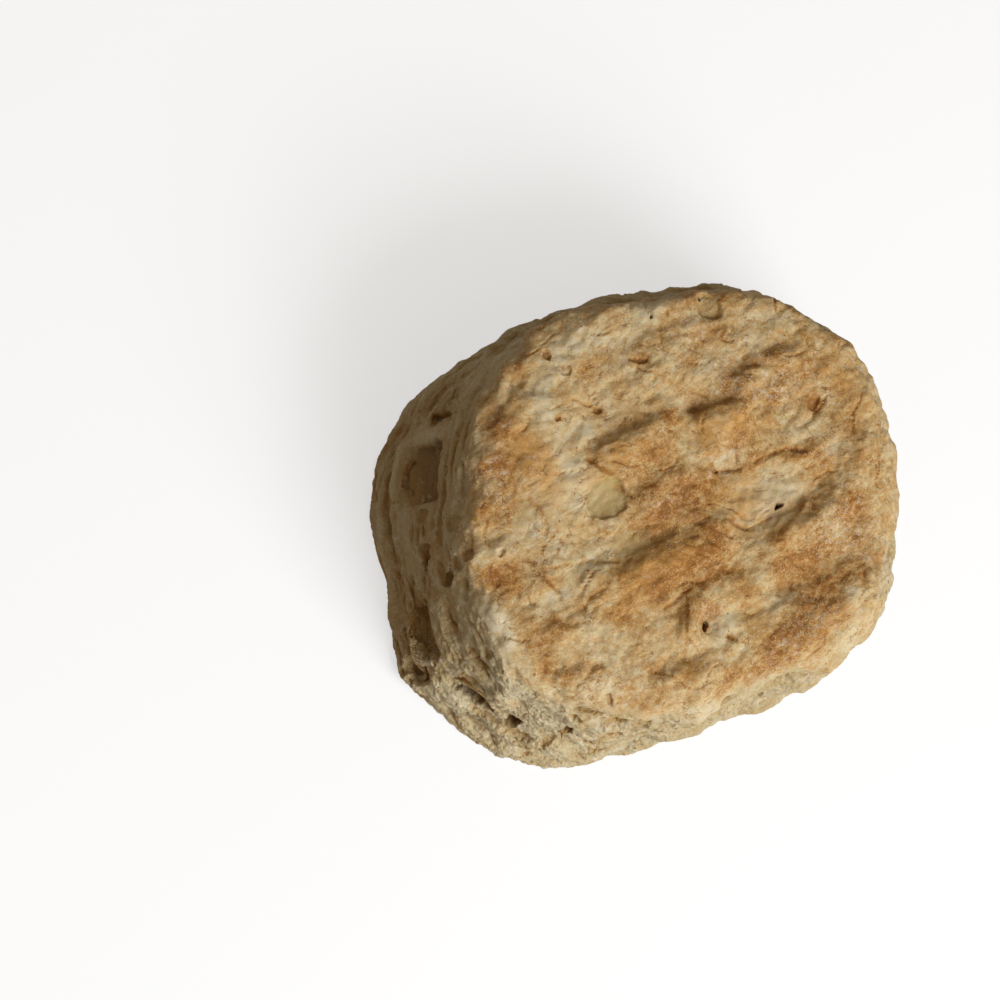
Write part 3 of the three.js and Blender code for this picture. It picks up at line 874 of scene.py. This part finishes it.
# The crown: soft wrinkles that run along Y, lips, cracks, pits and pinholes.
lengthwise = points * (1, 0.65, 1)
wrinkles = 0.34 * noise_at(points, 6, layer=14) + 0.26 * noise_at(lengthwise, 2.6, layer=15)
grain = 0.17 * noise_at(points, 1.1, layer=16) + 0.2 * lumps_at(lengthwise, 2.2, layer=26)
bent = 1.2 * noise_at(points, 4.5, layer=18) + 0.5 * noise_at(points, 1.5, layer=19)
broken = step(noise_at(points, 4.0, layer=21), -0.6, -0.1)
lips = broken * sum(lip_at(points, bent, *lip) for lip in LIPS)
crown_push = wrinkles + grain + crown * lips
bent_places = points[:, :2] + 0.5 * np.column_stack((bent, noise_at(points, 2.0, layer=25)))
veins = 0.2 * np.exp(-((noise_at(lengthwise, 4.0, layer=31) / 0.05) ** 2))
veins *= step(noise_at(points, 5, layer=32), 0, 0.3)
for x, y, far_x, far_y, deep in CRACKS:
    away = line_at(bent_places, (x, y), (far_x, far_y))
    veins = np.maximum(veins, deep * np.exp(-((away / 0.35) ** 2)))
crown_push -= crown * veins
pit_push = np.zeros(len(points))
hole_shade = np.zeros(len(points))
raw = np.zeros(len(points))
for x, y, across, along, turn, deep in PITS:
    away = spot(points, x, y, across, along, turn) * uneven
    sunk = crown * step(away, 1.12, 0.85)
    pit_push = np.minimum(pit_push, -deep * sunk)
for x, y, across, along, turn, deep in PINHOLES:
    away = spot(points, x, y, across, along, turn) * uneven
    sunk = crown * step(away, 1.15, 0.6)
    pit_push = np.minimum(pit_push, -deep * sunk)
    hole_shade = np.maximum(hole_shade, crown * step(away, 1.15, 0.7))
for x, y, across, along, turn, much in RAW:
    away = spot(points, x, y, across, along, turn) * uneven
    raw = np.maximum(raw, crown * much * step(away, 1.1, 0.8))

push = side_push + (1 - crumb) * crown_push + pit_push
push = np.clip(push * (1 - under), -FURTHEST_IN, FURTHEST_OUT)
moved = points + normals * push[:, None]
moved[:, 2] = np.maximum(moved[:, 2], 0)
biscuit.data.vertices.foreach_set("co", (moved * MM).ravel())
biscuit.data.update()

# Little light gets down to the floor of a hole that is torn right through a leaf, so shade is painted
# there.
buried = slope_at(around, moved[:, 2]) + wider_at(around) - np.hypot(moved[:, 0], moved[:, 1])
dark = np.maximum(dark, 0.64 * torn_through * step(buried, 0.1, 0.6))

# What the material reads: how brown, amber or floury, how much crumb, and where shade or light is
# painted: deep in hollows and creases, on the side turned from the main light, down in holes, and on the
# side's raised rims.
bake = 0.4 + 0.16 * noise_at(points, 8, layer=20) + 0.14 * noise_at(points, 3, layer=23)
browner = 0.75 * near_any(points, BROWNED, uneven) - 0.6 * near_any(points, PALE, uneven)
bake += browner + 1.4 * veins
bake = np.minimum(bake, 0.8 + 0.3 * (bake - 0.8))
# Near the great pocket less hollow shade is painted.
open_air = 1 - 0.6 * by_pocket(around, points[:, 2])
# Painted shade for the side turned away from the main light.
shaded_side = step(around, 205, 222) * step(around, 284, 258)
values = {
    "bake": bake,
    "amber": near_any(points, AMBER, uneven),
    "flour": near_any(points, FLOURED, uneven),
    "crumb": crumb,
    # Painted shade: how much of the open air a vertex does not see, and the listed hollows and sunk
    # relief of the side.
    "hollow_shade": np.maximum(
        hollowness(biscuit.data, moved, read(biscuit.data, "vertex_normals"), 4.0) * open_air,
        crumb * np.maximum(0.6 * step(hollows, 0.1, 0.8), 0.5 * step(-relief, 0.1, 0.8)),
    ),
    # Raised rims and ledges of the side: painted light, they take less of the painted side shade.
    "rim": crumb * np.maximum(step(ledges, 0.05, 0.3), step(relief, 0.0, 0.4)),
    "cream": cream,
    # Painted shade of the side turned from the main light, less of it above 21 mm, where that side half
    # catches the light.
    "painted_side_shade": shaded_side * (1 - 0.6 * step(points[:, 2], 21, 26)),
    # Painted shade, near black, in the crown's pinholes, in holes torn through the side and in the
    # pocket's top.
    "hole_shade": np.maximum(hole_shade, crumb * dark),
    "raw": raw,
    "under": under,
}
thinned = fewer_faces(biscuit, TRIANGLES)
for name, value in values.items():
    set_values(biscuit.data, name, value[thinned])


def add(tree, kind, links=None, **settings):
    """A new node with its inputs set or linked by name, and its properties set."""
    made = tree.nodes.new(kind)
    for name, value in settings.items():
        setattr(made, name, value)
    for name, value in (links or {}).items():
        socket = made.inputs[name]
        if isinstance(value, bpy.types.NodeSocket):
            tree.links.new(value, socket)
        else:
            socket.default_value = value
    return made


def group(name, inputs, outputs):
    """A new node group, its input node and its output node."""
    tree = bpy.data.node_groups.new(name, "ShaderNodeTree")
    for title, kind, value in inputs:
        socket = tree.interface.new_socket(title, in_out="INPUT", socket_type=kind)
        if value is not None:
            socket.default_value = value
    for title, kind in outputs:
        tree.interface.new_socket(title, in_out="OUTPUT", socket_type=kind)
    return tree, tree.nodes.new("NodeGroupInput"), tree.nodes.new("NodeGroupOutput")


def use(tree, made, links):
    """A node of a group that was made before, with its inputs set or linked by name."""
    node = add(tree, "ShaderNodeGroup", node_tree=made)
    for name, value in links.items():
        if isinstance(value, bpy.types.NodeSocket):
            tree.links.new(value, node.inputs[name])
        else:
            node.inputs[name].default_value = value
    return node


def math_node(tree, kind, first, second=0.0, clamp=False):
    made = add(tree, "ShaderNodeMath", {0: first, 1: second}, operation=kind, use_clamp=clamp)
    return made.outputs[0]


def mix(tree, share, first, second):
    made = tree.nodes.new("ShaderNodeMix")
    made.data_type = "RGBA"
    for socket, value in zip((made.inputs[0], made.inputs[6], made.inputs[7]), (share, first, second)):
        if isinstance(value, bpy.types.NodeSocket):
            tree.links.new(value, socket)
        else:
            socket.default_value = value
    return made.outputs[2]


def ramp(tree, value, stops):
    made = add(tree, "ShaderNodeValToRGB", {"Fac": value})
    elements = made.color_ramp.elements
    while len(elements) < len(stops):
        elements.new(0.5)
    for element, (place, colour) in zip(elements, stops):
        element.position = place
        element.color = (*colour, 1)
    return made.outputs["Color"]


def times(tree, first, second):
    return math_node(tree, "MULTIPLY", first, second)


def ranged(tree, value, low, high):
    """0 where the value is low and 1 where it is high. low may be the greater of the two."""
    return add(tree, "ShaderNodeMapRange", {"Value": value, "From Min": low, "From Max": high}).outputs[0]


def noise_of(tree, place, per_metre, detail, roughness=0.5):
    links = {"Vector": place, "Scale": per_metre, "Detail": detail, "Roughness": roughness}
    return add(tree, "ShaderNodeTexNoise", links).outputs["Fac"]


def stretched(tree, place, share):
    """Places by which a pattern comes out longer along +Y."""
    links = {0: place, 1: (1.0, share, 1.0)}
    return add(tree, "ShaderNodeVectorMath", links, operation="MULTIPLY").outputs[0]


def speckle_group():
    """Irregular specks of a size in mm, as a mask. Cover is the share of the surface they take."""
    tree, given, result = group(
        "Specks",
        [
            ("Place", "NodeSocketVector", None),
            ("Size", "NodeSocketFloat", 1.0),
            ("Cover", "NodeSocketFloat", 0.3),
            ("Softness", "NodeSocketFloat", 0.1),
        ],
        [("Mask", "NodeSocketFloat")],
    )
    per_metre = math_node(tree, "DIVIDE", 1000.0, given.outputs["Size"])
    texture = noise_of(tree, given.outputs["Place"], per_metre, 3.0, 0.6)
    low = math_node(tree, "SUBTRACT", 0.72, times(tree, given.outputs["Cover"], 0.45))
    high = math_node(tree, "ADD", low, given.outputs["Softness"])
    links = {"Value": texture, "From Min": low, "From Max": high}
    mask = add(tree, "ShaderNodeMapRange", links, interpolation_type="SMOOTHSTEP")
    tree.links.new(mask.outputs[0], result.inputs["Mask"])
    return tree


def cells_group():
    """Rounded cells of a size in mm: how far out from a cell's middle, and each cell's own number."""
    tree, given, result = group(
        "Cells",
        [("Place", "NodeSocketVector", None), ("Size", "NodeSocketFloat", 1.0)],
        [("Out", "NodeSocketFloat"), ("Own", "NodeSocketFloat")],
    )
    per_metre = math_node(tree, "DIVIDE", 1000.0, given.outputs["Size"])
    texture = add(tree, "ShaderNodeTexVoronoi", {"Vector": given.outputs["Place"], "Scale": per_metre})
    split = add(tree, "ShaderNodeSeparateColor", {"Color": texture.outputs["Color"]})
    tree.links.new(texture.outputs["Distance"], result.inputs["Out"])
    tree.links.new(split.outputs[0], result.inputs["Own"])
    return tree


def hairs_group():
    """Hair-thin wavy lines that run along +Y, as a mask. Size is how far apart they lie, in mm."""
    tree, given, result = group(
        "Hairlines",
        [("Place", "NodeSocketVector", None), ("Size", "NodeSocketFloat", 1.0)],
        [("Mask", "NodeSocketFloat")],
    )
    long = stretched(tree, given.outputs["Place"], 0.55)
    per_metre = math_node(tree, "DIVIDE", 1000.0, given.outputs["Size"])
    links = {"Vector": long, "Scale": per_metre, "Detail": 3.0, "Distortion": 0.5}
    texture = add(tree, "ShaderNodeTexNoise", links)
    away = math_node(tree, "ABSOLUTE", math_node(tree, "SUBTRACT", texture.outputs["Fac"], 0.5))
    tree.links.new(ranged(tree, away, 0.035, 0.0), result.inputs["Mask"])
    return tree


specks = speckle_group()
cells = cells_group()
hairs = hairs_group()


def mask_of(tree, place, size, cover, softness):
    """The mask that the specks give."""
    links = {"Place": place, "Size": size, "Cover": cover, "Softness": softness}
    return use(tree, specks, links).outputs["Mask"]


# The crust from cream to brown, by how far it is baked, what lies on it or shows through it, and the
# painted shade of its creases.
BAKED_SHADES = [
    (0.0, (0.58, 0.51, 0.36)),
    (0.22, (0.55, 0.44, 0.255)),
    (0.5, (0.46, 0.297, 0.122)),
    (0.75, (0.37, 0.195, 0.06)),
    (1.0, (0.24, 0.1, 0.022)),
]
CLEAR_AMBER = (0.5, 0.275, 0.08, 1)
THIN_SKIN = (0.4, 0.32, 0.14, 1)
HAIRLINE_BROWN = (0.22, 0.09, 0.02, 1)
FLOUR_HAZE = (0.61, 0.535, 0.43, 1)
FLOUR_DOTS = (0.75, 0.68, 0.6, 1)
# Painted shade in the crust's creases and hollows, warm as light through dough.
CREASE_SHADE_BROWN = (0.31, 0.14, 0.035, 1)


def crust_group():
    """The crust's colour: from cream by tan to brown, mottled, with amber, flour and fine streaks, and
    painted shade in its creases and hollows.
    """
    tree, given, result = group(
        "Crust colour",
        [
            ("Place", "NodeSocketVector", None),
            ("Bake", "NodeSocketFloat", 0.5),
            ("Amber", "NodeSocketFloat", 0.0),
            ("Flour", "NodeSocketFloat", 0.0),
            ("Raw", "NodeSocketFloat", 0.0),
            ("Hollow_shade", "NodeSocketFloat", 0.0),
        ],
        [("Color", "NodeSocketColor")],
    )
    place = given.outputs["Place"]
    long = stretched(tree, place, 0.65)
    coarse = noise_of(tree, place, 330.0, 4.0)
    fine = noise_of(tree, long, 1500.0, 4.0, 0.75)
    dotted = noise_of(tree, place, 3600.0, 2.0, 0.6)
    bake = given.outputs["Bake"]
    links = {"Value": bake, "From Max": 0.8, "To Min": 0.45, "To Max": 1.05}
    strong = add(tree, "ShaderNodeMapRange", links).outputs[0]
    for texture, much in ((coarse, 1.0), (fine, 1.8), (dotted, 0.9)):
        part = times(tree, math_node(tree, "SUBTRACT", texture, 0.5), much)
        bake = math_node(tree, "ADD", bake, times(tree, part, strong))
    colour = ramp(tree, bake, BAKED_SHADES)
    warm = mix(tree, times(tree, given.outputs["Amber"], 0.7), colour, CLEAR_AMBER)
    worn = mask_of(tree, place, 1.6, 0.4, 0.2)
    bare = math_node(tree, "SUBTRACT", 1.0, times(tree, worn, 0.45))
    thin = mix(tree, times(tree, given.outputs["Raw"], bare), warm, THIN_SKIN)
    lines = use(tree, hairs, {"Place": place, "Size": 1.2}).outputs["Mask"]
    here = mask_of(tree, place, 4.0, 0.6, 0.2)
    dark = times(tree, times(tree, lines, here), 0.85)
    drawn = mix(tree, dark, thin, HAIRLINE_BROWN)
    haze = mask_of(tree, long, 0.8, 0.5, 0.25)
    patches = mask_of(tree, place, 9.0, 0.5, 0.2)
    where = math_node(tree, "ADD", times(tree, patches, 0.5), given.outputs["Flour"], clamp=True)
    flour = times(tree, times(tree, haze, where), 0.8)
    dusted = mix(tree, flour, drawn, FLOUR_HAZE)
    cell = use(tree, cells, {"Place": place, "Size": 0.38})
    small = math_node(tree, "LESS_THAN", cell.outputs["Out"], 0.3)
    some = math_node(tree, "GREATER_THAN", cell.outputs["Own"], 0.8)
    dots = times(tree, times(tree, small, some), where)
    frosted = mix(tree, times(tree, dots, 0.6), dusted, FLOUR_DOTS)
    # Painted shade: browner the deeper in a hollow or crease.
    deep = ramp(tree, given.outputs["Hollow_shade"], [(0.1, (0, 0, 0)), (0.8, (1, 1, 1))])
    creased = mix(tree, deep, frosted, CREASE_SHADE_BROWN)
    tree.links.new(creased, result.inputs["Color"])
    return tree


# The torn crumb, from tan to cream, its flour and bran, and the painted shade of its gaps, its hollows
# and the side turned from the main light.
CRUMB_TAN = (0.5, 0.39, 0.2, 1)
CRUMB_CREAM = (0.585, 0.51, 0.345, 1)
# Painted shade in the gaps between the crumb's grains, where the fine relief sinks.
CRUMB_GAP_SHADE = (0.4, 0.27, 0.11, 1)
CRUMB_PORES = (0.36, 0.23, 0.09, 1)
OCHRE = (0.42, 0.28, 0.1, 1)
# Painted shade, amber, in the crumb's hollows.
HOLLOW_SHADE_AMBER = (0.41, 0.25, 0.085, 1)
# Painted shade of the side turned from the main light.
SIDE_SHADE_BROWN = (0.4, 0.225, 0.075, 1)
FLOURY_CREAM = (0.61, 0.535, 0.36, 1)
BRAN_BROWN = (0.36, 0.17, 0.05, 1)
LOOSE_FLOUR = (0.67, 0.605, 0.46, 1)


def crumb_group():
    """The torn crumb's colour: cream with flecks of bran and flour, and painted shade: amber in its
    hollows, darker in the gaps between its grains, and brown on the side turned from the main light, less
    on raised rims.
    """
    tree, given, result = group(
        "Crumb colour",
        [
            ("Place", "NodeSocketVector", None),
            ("Hollow_shade", "NodeSocketFloat", 0.0),
            ("Painted_side_shade", "NodeSocketFloat", 0.0),
            ("Rim", "NodeSocketFloat", 0.0),
            ("Cream", "NodeSocketFloat", 0.0),
        ],
        [("Color", "NodeSocketColor")],
    )
    place = given.outputs["Place"]
    mottled = ranged(tree, noise_of(tree, place, 260.0, 5.0, 0.6), 0.35, 0.62)
    pale = mix(tree, mottled, CRUMB_TAN, CRUMB_CREAM)
    # Painted shade in the gaps between grains, where the fine relief sinks.
    cell = use(tree, cells, {"Place": place, "Size": 0.8})
    gaps = ranged(tree, cell.outputs["Out"], 0.35, 0.8)
    grainy = mix(tree, times(tree, gaps, 0.25), pale, CRUMB_GAP_SHADE)
    pores = ranged(tree, noise_of(tree, place, 900.0, 4.0, 0.7), 0.5, 0.3)
    pocked = mix(tree, times(tree, pores, 0.6), grainy, CRUMB_PORES)
    ochre = mask_of(tree, place, 6.0, 0.3, 0.2)
    tinted = mix(tree, times(tree, ochre, 0.5), pocked, OCHRE)
    # Painted shade: amber the deeper in a hollow.
    deep = ramp(tree, given.outputs["Hollow_shade"], [(0.12, (0, 0, 0)), (0.65, (1, 1, 1))])
    shaded = mix(tree, deep, tinted, HOLLOW_SHADE_AMBER)
    # Painted shade of the side turned from the main light, patchy, and less of it on raised rims and
    # ledges, which is painted light.
    patches = mask_of(tree, place, 3.4, 0.5, 0.25)
    uneven = math_node(tree, "ADD", times(tree, patches, 0.6), 0.35)
    bare = math_node(tree, "SUBTRACT", uneven, times(tree, given.outputs["Rim"], 0.4))
    warm = mix(tree, times(tree, given.outputs["Painted_side_shade"], bare), shaded, SIDE_SHADE_BROWN)
    creamy = mix(tree, times(tree, given.outputs["Cream"], 0.75), warm, FLOURY_CREAM)
    bran = mask_of(tree, place, 1.1, 0.14, 0.05)
    flecked = mix(tree, times(tree, bran, 0.6), creamy, BRAN_BROWN)
    white = mask_of(tree, place, 2.4, 0.3, 0.12)
    floury = mix(tree, times(tree, white, 0.6), flecked, LOOSE_FLOUR)
    tree.links.new(floury, result.inputs["Color"])
    return tree


def grain_group():
    """Fine relief: the crust's wrinkles along +Y and the crumb's torn grains, too small to model."""
    tree, given, result = group(
        "Fine relief",
        [("Place", "NodeSocketVector", None), ("Torn", "NodeSocketFloat", 0.0)],
        [("Normal", "NodeSocketVector")],
    )
    place = given.outputs["Place"]
    wrinkles = noise_of(tree, stretched(tree, place, 0.65), 1100.0, 4.0, 0.7)
    large = noise_of(tree, place, 1000.0, 4.0, 0.68)
    cell = use(tree, cells, {"Place": place, "Size": 0.8})
    lines = use(tree, hairs, {"Place": place, "Size": 1.2}).outputs["Mask"]
    creased = math_node(tree, "SUBTRACT", wrinkles, times(tree, lines, 0.12))
    of_crust = times(tree, creased, 0.15)
    grains = math_node(tree, "SUBTRACT", large, times(tree, cell.outputs["Out"], 0.3))
    of_crumb = times(tree, grains, 0.7)
    height = add(tree, "ShaderNodeMix", {0: given.outputs["Torn"], 2: of_crust, 3: of_crumb})
    bump = add(tree, "ShaderNodeBump", {"Strength": 1.0, "Distance": MM, "Height": height.outputs[0]})
    tree.links.new(bump.outputs["Normal"], result.inputs["Normal"])
    return tree


UNDERSIDE_BROWN = (0.33, 0.19, 0.075, 1)
# Near-black painted shade for the floors of holes.
HOLE_SHADE_COLOUR = (0.05, 0.02, 0.006, 1)


def attribute(tree, name):
    return add(tree, "ShaderNodeAttribute", attribute_name=name).outputs["Fac"]


def baked_material():
    """Baked dough: crust, torn crumb and underside in one, dull, and letting a little light through, with
    near-black painted shade down in holes.
    """
    material = bpy.data.materials.new("baked_dough")
    material.use_nodes = True
    tree = material.node_tree
    shader = tree.nodes["Principled BSDF"]
    place = add(tree, "ShaderNodeTexCoord").outputs["Object"]
    hollow_shade_there = attribute(tree, "hollow_shade")
    of_crust = {"Place": place, "Hollow_shade": hollow_shade_there}
    for title in ("Bake", "Amber", "Flour", "Raw"):
        of_crust[title] = attribute(tree, title.lower())
    of_crumb = {"Place": place, "Hollow_shade": hollow_shade_there}
    for title in ("Painted_side_shade", "Rim", "Cream"):
        of_crumb[title] = attribute(tree, title.lower())
    crust = use(tree, crust_group(), of_crust)
    torn = use(tree, crumb_group(), of_crumb)
    both = mix(tree, attribute(tree, "crumb"), crust.outputs["Color"], torn.outputs["Color"])
    based = mix(tree, attribute(tree, "under"), both, UNDERSIDE_BROWN)
    hole_shaded = mix(tree, attribute(tree, "hole_shade"), based, HOLE_SHADE_COLOUR)
    tree.links.new(hole_shaded, shader.inputs["Base Color"])
    relief = use(tree, grain_group(), {"Place": place, "Torn": attribute(tree, "crumb")})
    tree.links.new(relief.outputs["Normal"], shader.inputs["Normal"])
    shader.inputs["Roughness"].default_value = 0.72
    shader.inputs["Specular IOR Level"].default_value = 0.15
    shader.inputs["Subsurface Weight"].default_value = 0.25
    shader.inputs["Subsurface Radius"].default_value = (1.8, 0.8, 0.35)
    shader.inputs["Subsurface Scale"].default_value = MM
    return material


biscuit.data.materials.clear()
biscuit.data.materials.append(baked_material())
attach(biscuit, "root")
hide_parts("biscuit")


# Flour. Coarse grains of it cling to the crust and to the torn side, thickest where the dough was
# dusted before it was folded. They are loose starch, dull white, and lie where they fell.

GRAINS = 12000
GRAIN_SIZES = (0.04, 0.11)
GRAIN_SHADES = ((0.72, 0.65, 0.53, 1), (0.57, 0.47, 0.32, 1))

# Clusters on the side: degrees round, height and half size in mm, and how thick.
CLUSTERS = [
    (243.0, 11.5, 2.0, 4.0),
    (242.5, 3.6, 1.6, 4.0),
    (274.0, 9.2, 1.6, 5.0),
    (270.0, 8.0, 1.2, 3.0),
    (222.0, 27.0, 3.0, 0.5),
    (235.0, 28.0, 4.0, 0.5),
    (250.0, 28.0, 3.0, 0.5),
    (279.0, 13.6, 1.2, 3.0),
    (288.0, 17.5, 1.6, 3.0),
    (227.0, 3.0, 2.0, 1.5),
]


def scattered(name, count, size, flat, weight, shades, seed):
    """A piece of count small eight-sided bits laid on the biscuit, by weight for each of its faces.
    size is the least and greatest half length in mm, and flat how thick a bit is for its length."""
    draw = np.random.default_rng(seed)
    mesh = biscuit.data
    mesh.calc_loop_triangles()
    faces = np.empty(len(mesh.loop_triangles) * 3, dtype=int)
    mesh.loop_triangles.foreach_get("vertices", faces)
    corners = read(mesh, "vertices")[faces.reshape(-1, 3)]
    ups = np.cross(corners[:, 1] - corners[:, 0], corners[:, 2] - corners[:, 0])
    areas = np.linalg.norm(ups, axis=1)
    odds = areas * weight[faces.reshape(-1, 3)].mean(axis=1)
    chosen = draw.choice(len(odds), count, p=odds / odds.sum())
    shares = draw.dirichlet((1, 1, 1), count)
    middles = (corners[chosen] * shares[:, :, None]).sum(axis=1)
    up = ups[chosen] / areas[chosen][:, None]
    aside = np.cross(up, draw.normal(size=(count, 3)))
    aside /= np.linalg.norm(aside, axis=1)[:, None]
    ahead = np.cross(up, aside)
    longest = draw.uniform(*size, count) * MM
    axes = np.stack((aside, ahead * 0.8, (up + 0.3 * aside) * flat), axis=1)
    axes = axes * longest[:, None, None]
    unit = np.array([(1, 0, 0), (-1, 0, 0), (0, 1, 0), (0, -1, 0), (0, 0, 1), (0, 0, -1)])
    sides = [(0, 2, 4), (2, 1, 4), (1, 3, 4), (3, 0, 4), (2, 0, 5), (1, 2, 5), (3, 1, 5), (0, 3, 5)]
    uneven_units = unit * draw.uniform(0.7, 1.2, (count, 6, 1))
    places = np.einsum("kij,kjc->kic", uneven_units, axes) + (middles + up * 0.02 * MM)[:, None]
    shape = bpy.data.meshes.new(name)
    triangles = (np.arange(count)[:, None, None] * 6 + np.array(sides)).reshape(-1, 3)
    shape.from_pydata(places.reshape(-1, 3).tolist(), [], triangles.tolist())
    piece = bpy.data.objects.new(name, shape)
    bpy.context.scene.collection.objects.link(piece)
    shape.materials.append(bit_material(name, *shades))
    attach(piece, "root")


def bit_material(name, pale, dark):
    """A dull material whose colour wanders between two from one bit to the next."""
    material = bpy.data.materials.new(name)
    material.use_nodes = True
    tree = material.node_tree
    shader = tree.nodes["Principled BSDF"]
    place = add(tree, "ShaderNodeTexCoord").outputs["Object"]
    own = use(tree, cells, {"Place": place, "Size": 0.6}).outputs["Own"]
    tree.links.new(mix(tree, own, pale, dark), shader.inputs["Base Color"])
    shader.inputs["Roughness"].default_value = 0.75
    return material


laid = read(biscuit.data, "vertices") / MM
turns = np.degrees(np.arctan2(laid[:, 1], laid[:, 0])) % 360
top = (1 - crumb[thinned]) * (1 - under[thinned])
torn = crumb[thinned] * (1 - under[thinned])
clusters = np.zeros(len(laid))
for degrees, height, wide, much in CLUSTERS:
    away = np.hypot(beside(turns, degrees), laid[:, 2] - height) / wide
    clusters += much * np.exp(-(away**2))
patchy = 0.15 + step(noise_at(laid, 5, layer=27), -0.2, 0.5)
dusting = top * (0.35 + values["flour"][thinned]) * patchy + torn * (0.06 + clusters)
scattered("flour_grains", GRAINS, GRAIN_SIZES, 0.8, dusting, GRAIN_SHADES, seed=7)

# Bran. Flat flecks of the whole grain's husk, brown and a little shiny, show all over the torn
# side and here and there through the crust. They were milled with the flour and lie any way.

FLECKS = 700
FLECK_SIZES = (0.12, 0.34)
FLECK_SHADES = ((0.3, 0.14, 0.04, 1), (0.42, 0.24, 0.09, 1))

husks = top * 0.5 + torn * (1 - 0.5 * patchy)
scattered("bran_flecks", FLECKS, FLECK_SIZES, 0.25, husks, FLECK_SHADES, seed=11)
